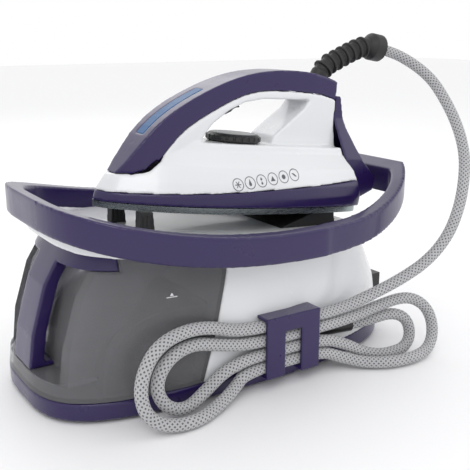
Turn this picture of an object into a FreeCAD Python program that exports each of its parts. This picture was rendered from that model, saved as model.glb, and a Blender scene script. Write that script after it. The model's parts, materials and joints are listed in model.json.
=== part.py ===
import FreeCAD, Part
import math
import os
import Sketcher

# Steam generator iron. +Z is up and Z = 0 is the table. X runs along the base: the water tank and the
# iron's tip are at -X, the hose end of the iron at +X. Y = 0 is the plane of symmetry. Millimetres.

V = FreeCAD.Vector
UP, ALONG, ACROSS = V(0, 0, 1), V(1, 0, 0), V(0, 1, 0)

SIZES = [
    # base outline at the tray, measured from its widest place
    ("widest_x", -32.5, "where the base is widest"),
    ("base_front", 156.0, "widest place to the nose"),
    ("base_rear", 208.0, "widest place to the rear"),
    ("base_width", 176.0, "width over the tray"),
    ("front_power", 3.4, "squareness of the nose outline"),
    ("rear_power", 2.6, "squareness of the rear outline"),
    ("tray_low", 3.0, "underside of the tray"),
    ("tray_top", 18.0, "rim of the tray"),
    ("tray_wall", 3.0, "wall of the tray"),
    ("shell_wall", 2.5, "wall of housing and tank"),
    ("gap", 0.5, "running clearance round the tank"),
    # carry frame
    ("frame_x", -2.5, "where the frame is widest"),
    ("frame_side", 26.0, "frame beyond the tray, each side"),
    ("frame_front", 175.0, "frame's widest place to its nose"),
    ("frame_rear", 191.0, "frame's widest place to its rear bar"),
    ("frame_band", 24.0, "height of the band"),
    ("frame_wall", 14.0, "thickness of the band"),
    ("frame_bar", 14.5, "thickness of the rear bar"),
    ("frame_level", 138.0, "top of the band at its lowest"),
    ("nose_rise", 34.0, "rise of the band at the nose"),
    ("rear_rise", 32.0, "rise of the band at the rear"),
    # rest plate
    ("plate_level", 125.0, "top of the rest plate at X = 0"),
    ("plate_tilt", 4.0, "slope of the rest plate, degrees"),
    ("plate_wall", 3.0, "thickness of the rest plate"),
    ("plate_rim", 3.0, "thickness of the rim that joins plate and frame"),
    ("plate_rear", 125.0, "rear edge of the rest plate"),
    # seam between tank and housing
    ("seam_x", -66.4, "seam at the tray rim"),
    ("seam_lean", 0.28, "seam's lean, X for each mm of height"),
    ("hump_x", -92.0, "centre of the pump cover's arch"),
    ("hump_z", 26.0, "height of the arch's centre"),
    ("hump_radius", 50.0, "outside radius of the pump cover"),
    ("hump_half", 66.0, "half width of the pump cover"),
    # tank
    ("roof_level", 118.0, "roof of the tank under the grip"),
    ("grip_rear", -128.0, "rear edge of the grip's cap"),
    ("recess_depth", 20.0, "depth of the finger recess"),
    ("recess_half", 57.0, "half width of the finger recess"),
    ("recess_low", 32.0, "bottom of the finger recess"),
    ("bar_half", 19.0, "half width of the grip's bar"),
    ("bar_depth", 12.0, "thickness of the grip's bar"),
    ("mouth_radius", 19.0, "radius of the fill mouth"),
    # iron, in its own axes: X from the tip, Z from the sole
    ("iron_tip_x", -117.9, "tip of the iron in the base's axes"),
    ("iron_tip_z", 154.4, "sole under the tip"),
    ("iron_tilt", 6.0, "nose-up tilt of the resting iron"),
    ("iron_length", 250.0, "length of the soleplate"),
    ("iron_half", 55.0, "half width of the soleplate"),
    ("sole_thick", 5.0, "thickness of the soleplate"),
    ("handle_half", 19.0, "half width of the handle"),
    ("body_top", 56.5, "top of the body under the dial"),
    ("shell", 2.5, "wall of the iron's shells"),
    ("dial_x", 131.0, "dial axis from the tip"),
    ("dial_radius", 25.0, "radius of the dial"),
    ("dial_thick", 7.0, "thickness of the dial"),
    ("shaft_radius", 3.0, "radius of the dial's shaft"),
    ("fit", 0.05, "radial clearance of a running fit"),
    ("loose", 0.4, "clearance of a loose moving piece"),
    # hose
    ("hose_size", 10.5, "outside diameter of the hose"),
    ("clip_x", 12.5, "middle of the hose clip"),
    ("clip_long", 55.0, "length of the hose clip"),
    ("clip_low", 12.5, "bottom of the hose clip"),
    ("clip_room", 2.0, "room over the top strand in the hose clip"),
    ("clip_wall", 3.0, "thickness of the hose clip"),
    ("slot_width", 17.0, "width of the slot in the hose clip"),
    ("strand_gap", 1.95, "strands in the clip beyond the side of the tray"),
]

doc = FreeCAD.newDocument("steam_generator_iron")
sheet = doc.addObject("Spreadsheet::Sheet", "sizes")
for row, (alias, value, note) in enumerate(SIZES, 1):
    sheet.set("A%d" % row, note)
    sheet.set("B%d" % row, str(value))
    sheet.setAlias("B%d" % row, alias)
doc.recompute()


def size(alias):
    return float(sheet.get(alias))


NODES = []


def node(obj, label):
    """Give a finished sub-part its name."""
    obj.Label = label
    NODES.append(obj)
    return obj


def feature(label, shape, placement=None):
    """A sub-part whose shape comes from Part's own functions."""
    if shape.ShapeType == "Compound" and len(shape.Solids) == 1:
        shape = shape.Solids[0]
    obj = doc.addObject("Part::Feature", label)
    obj.Shape = shape
    if placement is not None:
        obj.Placement = placement
    return node(obj, label)


def at(x, y, z, axis=UP, angle=0.0):
    return FreeCAD.Placement(V(x, y, z), FreeCAD.Rotation(axis, angle))


def pointing(x, y, z, direction):
    """A placement that turns a piece's own Z to a direction."""
    return FreeCAD.Placement(V(x, y, z), FreeCAD.Rotation(UP, direction))


def sketch(body, name, role, points):
    """A closed outline on an origin plane of the body; every corner is bound to two expressions."""
    plane = [item for item in body.Origin.OriginFeatures if item.Role == role][0]
    outline = body.newObject("Sketcher::SketchObject", name)
    outline.AttachmentSupport = [(plane, "")]
    outline.MapMode = "FlatFace"
    count = len(points)
    start = [V(math.cos(2 * math.pi * i / count), math.sin(2 * math.pi * i / count), 0) for i in range(count)]
    for i in range(count):
        outline.addGeometry(Part.LineSegment(start[i], start[(i + 1) % count]), False)
    for i in range(count):
        outline.addConstraint(Sketcher.Constraint("Coincident", i, 2, (i + 1) % count, 1))
    for i, (across, up) in enumerate(points):
        for kind, text, value in (("DistanceX", across, start[i].x), ("DistanceY", up, start[i].y)):
            index = outline.addConstraint(Sketcher.Constraint(kind, -1, 1, i, 1, value))
            outline.setExpression("Constraints[%d]" % index, str(text))
    return outline


def turned(label, points, placement=None, named=True):
    """A body of revolution: points are (radius, height) expressions, turned about the body's own Z."""
    body = doc.addObject("PartDesign::Body", label)
    outline = sketch(body, label + "_outline", "XZ_Plane", points)
    spin = body.newObject("PartDesign::Revolution", label + "_turn")
    spin.Profile = outline
    spin.ReferenceAxis = (outline, ["V_Axis"])
    spin.Angle = 360
    body.Placement = placement or at(0, 0, 0)
    return node(body, label) if named else body


def block(x_low, x_high, y_low, y_high, z_low, z_high):
    return Part.makeBox(x_high - x_low, y_high - y_low, z_high - z_low, V(x_low, y_low, z_low))


def rod(radius, start, end):
    return Part.makeCylinder(radius, (end - start).Length, start, end - start)


def closed_spline(points):
    curve = Part.BSplineCurve()
    curve.interpolate(Points=points, PeriodicFlag=True)
    return Part.Wire([curve.toShape()])


def quarter(centre, reach, half, power, side, z):
    """A quarter of a rounded outline, from its end on the axis of symmetry to its widest place."""
    points = []
    for i in range(9):
        turn = math.pi / 2 * i / 8
        x = centre + reach * math.cos(turn) ** (2 / power)
        y = side * half * math.sin(turn) ** (2 / power)
        points.append(V(x, y, z))
    points[-1] = V(centre, side * half, z)
    curve = Part.BSplineCurve()
    way = math.copysign(1, -reach)
    curve.interpolate(Points=points, InitialTangent=V(0, side, 0), FinalTangent=V(way, 0, 0))
    return curve


def outline_wire(centre, front, rear, half, front_power, rear_power, z):
    """A rounded outline in plan, made of four quarters that meet at the widest place and on the axis."""
    first = quarter(centre, rear, half, rear_power, 1, z)
    second = quarter(centre, -front, half, front_power, 1, z)
    third = quarter(centre, -front, half, front_power, -1, z)
    fourth = quarter(centre, rear, half, rear_power, -1, z)
    second.reverse()
    fourth.reverse()
    return Part.Wire([first.toShape(), second.toShape(), third.toShape(), fourth.toShape()])


def prism(wire, height):
    return Part.Face(wire).extrude(V(0, 0, height))


def side_prism(points, y_low, y_high):
    """A polygon in the XZ plane, extruded along Y."""
    corners = [V(x, y_low, z) for x, z in points]
    wire = Part.makePolygon(corners + [corners[0]])
    return Part.Face(wire).extrude(V(0, y_high - y_low, 0))


def spline_edge(points, y):
    curve = Part.BSplineCurve()
    curve.interpolate([V(x, y, z) for x, z in points])
    return curve.toShape()


def side_slab(low, high, half):
    """The space between two curves in the XZ plane that span the same X, extruded along Y."""
    lower, upper = spline_edge(low, -half), spline_edge(high, -half)
    first = Part.LineSegment(V(low[0][0], -half, low[0][1]), V(high[0][0], -half, high[0][1])).toShape()
    last = Part.LineSegment(V(low[-1][0], -half, low[-1][1]), V(high[-1][0], -half, high[-1][1])).toShape()
    wire = Part.Wire([first, upper, last, lower])
    return Part.Face(wire).extrude(V(0, 2 * half, 0))


# ---------------------------------------------------------------------------------------- outer forms
WIDEST = size("widest_x")
HALF = size("base_width") / 2
TAIL = WIDEST + size("base_rear")
TRAY_TOP = size("tray_top")
WALL = size("shell_wall")
GAP = size("gap")
SPAN = 2 * HALF + 200

# sections of the casing above the tray: height, and how much shorter and narrower it is there
CASING = [(0, 0.0, 0.0, 0.0), (42, 6.0, 8.0, -1.0), (82, 18.0, 26.0, 3.0), (127, 44.0, 58.0, 12.0)]


CASINGS = {}


def casing(inset):
    """The casing's outer form, or the same form a wall's thickness further in."""
    if inset in CASINGS:
        return CASINGS[inset]
    wires = []
    for rise, front_in, rear_in, side_in in CASING:
        wires.append(outline_wire(
            WIDEST, size("base_front") - front_in - inset, size("base_rear") - rear_in - inset,
            HALF - side_in - inset, size("front_power"), size("rear_power"), TRAY_TOP + rise))
    CASINGS[inset] = Part.makeLoft(wires, True, True)
    return CASINGS[inset]


def band_top(x):
    """Height of the carry frame's upper edge."""
    nose_part = (size("frame_x") + 30 - x) / (size("frame_front") + 30)
    rear_part = (x - size("frame_x") - 50) / (size("frame_rear") - 50)
    rise = size("nose_rise") * max(nose_part, 0) ** 2 + size("rear_rise") * max(rear_part, 0) ** 2.3
    return size("frame_level") + rise


def plate_top(x):
    return size("plate_level") - x * math.tan(math.radians(size("plate_tilt")))


def stations(first, last, count):
    return [first + (last - first) * i / (count - 1) for i in range(count)]


FRAME_HALF = HALF + size("frame_side")
FRAME_NOSE = size("frame_x") - size("frame_front")
FRAME_TAIL = size("frame_x") + size("frame_rear")
BAND_STATIONS = stations(FRAME_NOSE - 5, FRAME_TAIL + 5, 15)


def band_slab(low, high):
    """The curved space between two offsets from the frame's upper edge."""
    return side_slab([(x, band_top(x) + low) for x in BAND_STATIONS],
                     [(x, band_top(x) + high) for x in BAND_STATIONS], FRAME_HALF + 20)


def frame_prism(inset, tail):
    """The frame's outline in plan, closed by a straight rear edge."""
    wire = outline_wire(size("frame_x"), size("frame_front") - inset, size("frame_rear") + 12 - inset,
                        FRAME_HALF - inset, size("front_power"), 2.2, 60)
    whole = prism(wire, 180)
    return whole.common(block(FRAME_NOSE - 10, tail, -SPAN, SPAN, 50, 260))


def plate_slab(low, high, front=-260.0, rear=260.0):
    """The sloping space between two offsets from the rest plate's upper face."""
    return side_prism([(front, plate_top(front) + low), (rear, plate_top(rear) + low),
                       (rear, plate_top(rear) + high), (front, plate_top(front) + high)], -SPAN, SPAN)


def seam(z):
    return size("seam_x") + (z - TRAY_TOP) * size("seam_lean")


def ahead_of_seam(back_off):
    """Everything on the tank's side of the leaning seam."""
    low, high = 0.0, 200.0
    return side_prism([(-300, low), (seam(low) - back_off, low), (seam(high) - back_off, high),
                       (-300, high)], -SPAN, SPAN)


def arch(radius, half, rear):
    """The pump cover's form: a half round across the base, run back to a given X."""
    x, z = size("hump_x"), size("hump_z")
    drum = Part.makeCylinder(radius, 2 * half, V(x, -half, z), ACROSS)
    skirt = block(x - radius, rear, -half, half, TRAY_TOP - 12, z)
    back = block(x, rear, -half, half, z, z + radius)
    return drum.fuse([skirt, back]).common(block(-300, 300, -SPAN, SPAN, TRAY_TOP, 300)).removeSplitter()


CASING_OUT = casing(0)
CASING_IN = casing(WALL)
PLATE_UNDER = -size("plate_wall")

# ---------------------------------------------------------------------------------------- tray and feet
BOSSES = [(WIDEST - 0.67 * size("base_front"), 0.60 * HALF), (WIDEST + 0.66 * size("base_rear"), 0.46 * HALF)]
FOOT_PLACES = [(x, side * y) for x, y in BOSSES for side in (-1, 1)]
FLOOR = size("tray_low") + 2.5
STEM, FOOT_RADIUS = 3.0, 9.0
POST_PLACES = [(WIDEST + along * size("base_rear"), side * across * HALF)
               for along, across in ((0.10, 0.72), (0.58, 0.56)) for side in (-1, 1)]
POST_RADIUS, SCREW_RADIUS, SCREW_LONG, SCREW_HEAD = 4.0, 1.5, 14.0, 3.2


def base_tray():
    low = size("tray_low")
    outer = prism(outline_wire(WIDEST, size("base_front"), size("base_rear"), HALF, size("front_power"),
                               size("rear_power"), low), TRAY_TOP - low)
    inner = prism(outline_wire(WIDEST, size("base_front") - size("tray_wall"),
                               size("base_rear") - size("tray_wall"), HALF - size("tray_wall"),
                               size("front_power"), size("rear_power"), FLOOR), TRAY_TOP)
    tray = outer.cut(inner)
    holes = [Part.makeCylinder(STEM, 20, V(x, y, 0)) for x, y in FOOT_PLACES]
    holes += [Part.makeCylinder(SCREW_RADIUS, 20, V(x, y, 0)) for x, y in POST_PLACES]
    vents = [block(WIDEST + 60 + 9 * i, WIDEST + 63 + 9 * i, -26, 26, 0, FLOOR + 1) for i in range(9)]
    return feature("base_tray", tray.cut(holes + vents))


def rubber_feet():
    feet = []
    for x, y in FOOT_PLACES:
        pad = Part.makeCylinder(FOOT_RADIUS, size("tray_low"), V(x, y, 0))
        stem = Part.makeCylinder(STEM, FLOOR - size("tray_low") + 1.5, V(x, y, size("tray_low")))
        feet.append(pad.fuse(stem).removeSplitter())
    return feature("rubber_feet", Part.makeCompound(feet))


def tank_shelf():
    """Flat floor ahead of the seam that carries the tank and the pump cover."""
    reach = size("tray_wall")
    plan = prism(outline_wire(WIDEST, size("base_front") - reach, size("base_rear") - reach, HALF - reach,
                              size("front_power"), size("rear_power"), TRAY_TOP - 2.5), 2.5)
    shelf = plan.common(ahead_of_seam(0))
    x = size("hump_x")
    half = size("hump_half") - WALL
    hole = block(x - size("hump_radius") + WALL, x + 60, -half, half, 0, 40)
    return feature("tank_shelf", shelf.cut(hole))


def housing_screws():
    """Screws from under the tray into the posts of the rest plate."""
    low = size("tray_low")
    screws = []
    for x, y in POST_PLACES:
        head = Part.makeCylinder(SCREW_HEAD, 1.8, V(x, y, low - 1.8))
        slot = block(x - 2.2, x + 2.2, y - 0.4, y + 0.4, low - 1.8, low - 1.0)
        shank = Part.makeCylinder(SCREW_RADIUS, SCREW_LONG, V(x, y, low))
        screws.append(head.cut(slot).fuse(shank).removeSplitter())
    return feature("housing_screws", Part.makeCompound(screws))


base_tray()
rubber_feet()
tank_shelf()
housing_screws()

# ---------------------------------------------------------------------------------------- casing
OUTLET = V(WIDEST + 0.435 * size("base_rear"), -0.875 * HALF, 34)
OUTLET_WAY = V(0.975, -0.22, 0)
OUTLET_LONG, OUTLET_RADIUS = 34.0, 7.5
INLET_Z, INLET_Y, INLET_RADIUS = 42.0, 30.0, 8.0
SWITCH_Y, SWITCH_Z = -22.0, 44.0
SWITCH_WIDE, SWITCH_HIGH = 20.0, 18.0
NIPPLE = V(seam(30), size("hump_half") + 11.5, 30)
NIPPLE_RADIUS, NIPPLE_OUT, NIPPLE_BORE = 4.0, 12.0, 2.4


def gland_blank():
    """Outside form of the steam outlet's gland, before its bores."""
    near, far = OUTLET, OUTLET + OUTLET_WAY * OUTLET_LONG
    return Part.makeCone(OUTLET_RADIUS, OUTLET_RADIUS - 1, (far - near).Length, near, OUTLET_WAY)


def rear_housing():
    """White casing behind the seam: side walls, front bulkhead, open below, closed by the rest plate."""
    under_plate = plate_slab(-200, PLATE_UNDER)
    behind = ahead_of_seam(0)
    shell = CASING_OUT.common(under_plate).cut(behind)
    room = CASING_IN.common(plate_slab(-200, PLATE_UNDER + 20)).cut(ahead_of_seam(-WALL))
    ledge = CASING_OUT.common(plate_slab(PLATE_UNDER - WALL, PLATE_UNDER, size("plate_rear") - 6))
    shell = shell.cut(room).fuse(ledge)
    doorway = arch(size("hump_radius"), size("hump_half"), size("seam_x") + 40)
    tools = [doorway]
    tools.append(block(TAIL - 40, TAIL + 20, SWITCH_Y - SWITCH_WIDE / 2, SWITCH_Y + SWITCH_WIDE / 2,
                       SWITCH_Z - SWITCH_HIGH / 2, SWITCH_Z + SWITCH_HIGH / 2))
    tools.append(Part.makeCylinder(INLET_RADIUS - 2, 60, V(TAIL - 40, INLET_Y, INLET_Z), ALONG))
    tools += [gland_blank(), Part.makeCylinder(NIPPLE_RADIUS + 1, 30, NIPPLE - V(10, 0, 0), ALONG)]
    return feature("rear_housing", shell.cut(tools))


def pump_cover():
    """Arched cover over the pump; it fills the recess behind the tank."""
    radius, half = size("hump_radius"), size("hump_half")
    rear = seam(size("hump_z") + radius) + WALL
    outer = arch(radius, half, rear)
    inner = arch(radius - WALL, half - WALL, rear + 5)
    return feature("pump_cover", outer.cut(inner).cut(inner.translated(V(0, 0, -4))))


rear_housing()
pump_cover()

# ---------------------------------------------------------------------------------------- frame and plate


def carry_frame():
    outer = frame_prism(0, FRAME_TAIL)
    inner = frame_prism(size("frame_wall"), FRAME_TAIL - size("frame_bar"))
    band = outer.cut(inner).common(band_slab(-size("frame_band"), 0))
    return feature("carry_frame", band.removeSplitter())


def top_plate():
    """Sloping rest plate with a low rim inside the frame."""
    inside = frame_prism(size("frame_wall"), size("plate_rear"))
    plate = inside.common(plate_slab(PLATE_UNDER, 0))
    rim = inside.cut(frame_prism(size("frame_wall") + size("plate_rim"), size("plate_rear") + 5))
    rim = rim.common(band_slab(-80, 6 - size("frame_band"))).common(plate_slab(PLATE_UNDER, 80))
    posts = [Part.makeCylinder(POST_RADIUS, plate_top(x), V(x, y, FLOOR)) for x, y in POST_PLACES]
    posts = [post.common(plate_slab(-200, PLATE_UNDER + 1)) for post in posts]
    bores = [Part.makeCylinder(SCREW_RADIUS, SCREW_LONG + 2, V(x, y, FLOOR)) for x, y in POST_PLACES]
    return feature("top_plate", plate.fuse([rim] + posts).cut(bores))


carry_frame()
top_plate()

IRON_PLACE = at(size("iron_tip_x"), 0, size("iron_tip_z"), ACROSS, size("iron_tilt"))


def sole_height(x):
    """Height of the resting iron's sole above the table at a given X."""
    return size("iron_tip_z") - (x - size("iron_tip_x")) * math.tan(math.radians(size("iron_tilt")))


def front_rests():
    """Two fluted rubber posts under the front of the soleplate."""
    posts = []
    middle = size("iron_tip_x") + 0.13 * size("iron_length")
    half = 5.5
    for side in (-1, 1):
        y_low, y_high = (-33, -23) if side < 0 else (23, 33)
        y_low, y_high = y_low * size("iron_half") / 55, y_high * size("iron_half") / 55
        post = side_prism([(middle - half - 1.5, plate_top(middle - half - 1.5)),
                           (middle + half + 1.5, plate_top(middle + half + 1.5)),
                           (middle + half, sole_height(middle + half)),
                           (middle - half, sole_height(middle - half))], y_low, y_high)
        flutes = [rod(0.9, V(middle - 4 + 4 * i, y_low, plate_top(middle) + 3),
                      V(middle - 4 + 4 * i, y_low, sole_height(middle) - 3)) for i in range(3)]
        posts.append(post.cut(flutes))
    return feature("front_rests", Part.makeCompound(posts))


def heel_rest():
    """Rubber ramp across the plate that carries the heel of the soleplate."""
    x = size("iron_tip_x") + 0.80 * size("iron_length")
    half = 0.80 * size("iron_half")
    points = [(x - 42, plate_top(x - 42)), (x + 22, plate_top(x + 22)), (x + 20, sole_height(x + 20)),
              (x, sole_height(x))]
    return feature("heel_rest", side_prism(points, -half, half))


front_rests()
heel_rest()

# ---------------------------------------------------------------------------------------- tank


def recess(inset):
    """The room for the fingers behind the grip's bar, as deep everywhere as the nose leans."""
    half, low = size("recess_half") + inset, size("recess_low") - inset
    room = block(-300, WIDEST, -half, half, low, size("roof_level") + 40)
    return room.cut(casing(size("recess_depth") + inset))


def tank_top_cut():
    """Everything above the tank's clearance under the plate and the frame."""
    plate = plate_slab(PLATE_UNDER - GAP, 200)
    band = band_slab(-size("frame_band") - GAP, 120)
    return plate, band


def tank_form(inset):
    """The tank's form between shelf, seam, plate and frame, less the finger recess and the pump cover."""
    form = casing(inset).common(ahead_of_seam(GAP + inset))
    form = form.common(block(-300, 200, -SPAN, SPAN, TRAY_TOP + GAP + inset, 300))
    plate, band = tank_top_cut()
    drop = V(0, 0, -inset)
    form = form.cut([plate.translated(drop), band.translated(drop)])
    roof = size("roof_level")
    form = form.cut(recess(inset))
    form = form.cut(block(-300, size("grip_rear") + inset, -SPAN, SPAN, roof - inset, 300))
    return form.cut(arch(size("hump_radius") + GAP + inset, size("hump_half") + GAP + inset, 0))


MOUTH = V(seam(100) - 34, 0, 0)


def tank_shell():
    outer, inner = tank_form(0), tank_form(WALL)
    mouth = Part.makeCylinder(size("mouth_radius"), 60, MOUTH + V(0, 0, 90))
    port = Part.makeCylinder(NIPPLE_RADIUS, 20, NIPPLE - V(14, 0, 0), ALONG)
    return feature("tank_shell", outer.cut(inner).cut([mouth, port]))


def tank_grip():
    """Grip of the tank: a cap round the top of the nose and a bar down the middle."""
    roof, rear = size("roof_level"), size("grip_rear")
    plate, band = tank_top_cut()
    cap = CASING_OUT.common(block(-300, rear, -SPAN, SPAN, roof, 300)).cut([plate, band])
    room = casing(3).common(block(-300, rear - 3, -SPAN, SPAN, 0, 300))
    room = room.cut([plate.translated(V(0, 0, -3)), band.translated(V(0, 0, -3))])
    cap = cap.cut(room)
    low, half = size("recess_low"), size("bar_half")
    bar = CASING_OUT.common(block(-300, WIDEST, -half, half, low, roof)).cut(casing(size("bar_depth")))
    foot = CASING_OUT.common(block(-300, WIDEST, -half, half, low, low + 4)).cut(casing(size("recess_depth")))
    return feature("tank_grip", cap.fuse([bar, foot]))


def tank_valve():
    """Spigot of the tank, low at its back on the far side; it plugs into the seal of the base."""
    points = [(NIPPLE_BORE, 0), (NIPPLE_RADIUS, 0), (NIPPLE_RADIUS, 14 + NIPPLE_OUT),
              (NIPPLE_BORE, 14 + NIPPLE_OUT)]
    return turned("tank_valve", points, pointing(NIPPLE.x - 14, NIPPLE.y, NIPPLE.z, ALONG))


tank_shell()
tank_grip()
tank_valve()


# ---------------------------------------------------------------------------------------- iron forms
HALF_OUTLINE = [(0.0, 0.0), (0.015, 0.15), (0.056, 0.31), (0.18, 0.62), (0.335, 0.86), (0.52, 0.97),
                (0.72, 1.0), (0.90, 0.96), (0.965, 0.88), (0.995, 0.68), (1.0, 0.35)]
# sections of the iron's form: height, tip, rear end and half width
IRON_LONG = size("iron_length")
IRON_HALF = size("iron_half")
IRON_SECTIONS = [(-2, -2, 4, 0), (14, 2, 7, 0), (24, 8, 10, 3), (38, 18, 14, 10), (50, 26, 14, 24)]


def iron_wire(z, tip, rear, half):
    long = rear - tip
    near = [V(tip + u * long, -w * half, z) for u, w in HALF_OUTLINE]
    far = [V(point.x, -point.y, z) for point in near[:0:-1]]
    return closed_spline(near + far)


def sole_prism(z_low, z_high, inset):
    """The soleplate's outline, or the same outline further in, between two heights."""
    wire = iron_wire(z_low, 1.6 * inset, IRON_LONG - inset, IRON_HALF - inset)
    return prism(wire, z_high - z_low)


def iron_form(inset):
    """Plan form of the iron's body from the sole up to the dial, wide below and narrow above."""
    wires = []
    for z, tip_in, rear_out, side_in in IRON_SECTIONS:
        wires.append(iron_wire(z, tip_in + 1.8 * inset, IRON_LONG + rear_out - inset,
                               IRON_HALF - side_in - inset))
    wires.append(iron_wire(62, 34 + 1.8 * inset, IRON_LONG + 12 - inset, size("dial_radius") + 2 - inset))
    return Part.makeLoft(wires, True, True)


# side view of the iron: silhouette, the colour boundary of the handle, the finger gap
HANDLE_TOP = [(2, 16), (15, 30), (35, 57.5), (47, 71), (74, 91), (92, 101), (127, 115.5), (159, 122),
              (193, 123.5), (211, 122), (238, 114)]
HANDLE_LOW = [(2, 26), (16, 28), (36, 30), (63, 58.5), (93, 81), (117, 94), (132, 100), (164, 104.5),
              (189, 105), (216, 103.5), (239, 97)]
DECK = size("body_top")
GAP_OUTLINE = [(87, DECK), (91, 64), (98, 73), (113, 84.5), (129, 92.5), (148.5, 96.5), (200, 98.5), (194, 90),
               (172, 72), (163, 64.5), (160, DECK)]


def outline_face(points, y):
    corners = [V(x, y, z) for x, z in points]
    return Part.Face(Part.makePolygon(corners + [corners[0]]))


def shrunk_prism(points, inset, half):
    """A side outline moved inwards by a wall, extruded to both sides of Y = 0."""
    face = outline_face(points, -half).makeOffset2D(-inset)
    return face.extrude(V(0, 2 * half, 0))


def curve_samples(points, count):
    """Evenly spread points on a smooth curve through the given ones."""
    curve = Part.BSplineCurve()
    curve.interpolate([V(x, 0, z) for x, z in points])
    return [(p.x, p.z) for p in curve.discretize(count)]


TOP_LINE = curve_samples(HANDLE_TOP, 26)
SPLIT_LINE = curve_samples(HANDLE_LOW, 22)
HANDLE_OUTLINE = TOP_LINE + [(239, 97), (231, 80), (238, 46), (60, 40), (22, 24)]
HALF_HANDLE = size("handle_half")


def handle_plan(inset):
    """Handle in plan: a pointed nose, then straight sides."""
    half = HALF_HANDLE - inset
    near = [(8 + 1.4 * inset, 0.25 * half), (20 + 1.4 * inset, 0.66 * half), (36 + inset, 0.9 * half),
            (60, half), (205, half), (239, 0.95 * half), (262, 0.95 * half)]
    corners = [V(x, -y, 0) for x, y in near] + [V(x, y, 0) for x, y in near[::-1]]
    return prism(Part.makePolygon(corners + [corners[0]]), 200)


def skirt_line(x):
    return 13 + 13 * max(x / 216.0, 0) ** 1.4


SKIRT_STATIONS = stations(-10, 262, 12)
BELOW_SKIRT_LINE = side_slab([(x, -10) for x in SKIRT_STATIONS],
                             [(x, skirt_line(x)) for x in SKIRT_STATIONS], 80)
AHEAD_OF_BACK = side_prism([(-30, -5), (248, -5), (248, 12), (245, 26), (238, 48), (231, 80), (231, 130),
                            (-30, 130)], -80, 80)
FINGER_GAP = side_prism(GAP_OUTLINE, -60, 60)
SHELL = size("shell")
BODY_OUT, BODY_IN = iron_form(0), iron_form(SHELL)
HANDLE_OUT = side_prism(HANDLE_OUTLINE, -30, 30).common(handle_plan(0))
HANDLE_IN = shrunk_prism(HANDLE_OUTLINE, SHELL, 30).common(handle_plan(SHELL))
GAP_WALL = outline_face(GAP_OUTLINE, -60).makeOffset2D(SHELL).extrude(V(0, 120, 0))
HANDLE_HOLLOW = HANDLE_IN.cut(GAP_WALL)
ABOVE_SPLIT = side_prism(SPLIT_LINE + [(300, 97), (300, 200), (-20, 200), (-20, 26)], -60, 60)
INLAY_SPACE = side_prism([(38, 20), (92, 20), (92, 140), (38, 140)], -6.5, 6.5)
INLAY_UNDER = side_prism([(x, z - 1.8) for x, z in TOP_LINE] + [(238, 0), (2, 0)], -30, 30)

# the boot's root lies on top of the handle, near the heel
ROOT_LOCAL = V(220.0, 0, 119.9)
ROOT_WAY = V(math.cos(math.radians(61)), 0, math.sin(math.radians(61)))
PLUG_RADIUS, PLUG_LONG, TUBE_BORE = 8.0, 6.0, 2.4

# ---------------------------------------------------------------------------------------- iron pieces


def on_iron(x, y, z, axis=UP):
    """A place in the iron's own axes."""
    return IRON_PLACE.multiply(pointing(x, y, z, axis))


def iron_feature(label, shape):
    return feature(label, shape, IRON_PLACE)


def soleplate():
    plate = sole_prism(0, size("sole_thick"), 0)
    holes = []
    for row, inset in enumerate((8, 15)):
        for i in range(12):
            x = 22 + 8 * i + 6 * row
            u = x / IRON_LONG
            half = IRON_HALF * (1 - (1 - min(u, 0.5) / 0.5) ** 1.7) - inset
            if half > 3:
                holes += [Part.makeCylinder(1.2, 20, V(x, side * half, -5)) for side in (-1, 1)]
    return iron_feature("soleplate", plate.cut(holes))


ELEMENT_RADIUS = 3.5
CHAMBER_LOW, CHAMBER_TOP = size("sole_thick"), 16.0


def hairpin(x_tip, x_end, half, z, radius):
    """A U-shaped rod lying flat, open towards the heel."""
    start, bend = V(x_end, -half, z), V(x_tip + half, -half, z)
    path = Part.Wire([Part.LineSegment(start, bend).toShape(),
                      Part.Arc(bend, V(x_tip, 0, z), V(bend.x, half, z)).toShape(),
                      Part.LineSegment(V(bend.x, half, z), V(x_end, half, z)).toShape()])
    ring = Part.Wire([Part.Circle(start, ALONG, radius).toShape()])
    return path.makePipeShell([ring], True, False)


def steam_chamber():
    block_form = sole_prism(CHAMBER_LOW, CHAMBER_TOP, 10).common(block(0, 232, -80, 80, 0, 40))
    posts = [Part.makeCylinder(4, 8, V(x, y, CHAMBER_TOP - 2)) for x, y in SHIELD_POSTS]
    bores = [Part.makeCylinder(SCREW_RADIUS, 12, V(x, y, CHAMBER_TOP - 4)) for x, y in SHIELD_POSTS]
    tunnel = hairpin(56, 238, 26, CHAMBER_TOP - 5, ELEMENT_RADIUS)
    room = block(90, 200, -14, 14, CHAMBER_LOW, CHAMBER_TOP - 3)
    return iron_feature("steam_chamber", block_form.fuse(posts).cut([tunnel, room] + bores).removeSplitter())


SHIELD_POSTS = [(70, 0), (150, 37), (150, -37), (220, 0)]


def sole_element():
    return iron_feature("sole_element", hairpin(56, 238, 26, CHAMBER_TOP - 5, ELEMENT_RADIUS))


def heat_shield():
    sheet_form = sole_prism(CHAMBER_TOP + 6, CHAMBER_TOP + 7, 9).common(block(0, 226, -80, 80, 0, 40))
    well = Part.makeCylinder(12, 20, V(size("dial_x"), 0, 15))
    inlet = Part.makeCylinder(6, 20, V(195, 0, 15))
    holes = [Part.makeCylinder(SCREW_RADIUS, 20, V(x, y, 15)) for x, y in SHIELD_POSTS]
    return iron_feature("heat_shield", sheet_form.cut([well, inlet] + holes))


def iron_screws():
    """Screws that hold the heat shield on the posts of the steam chamber."""
    screws = []
    for x, y in SHIELD_POSTS:
        head = Part.makeCylinder(SCREW_HEAD, 1.8, V(x, y, CHAMBER_TOP + 7))
        shank = Part.makeCylinder(SCREW_RADIUS, 9, V(x, y, CHAMBER_TOP - 2))
        screws.append(head.fuse(shank).removeSplitter())
    return iron_feature("iron_screws", Part.makeCompound(screws))


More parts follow.
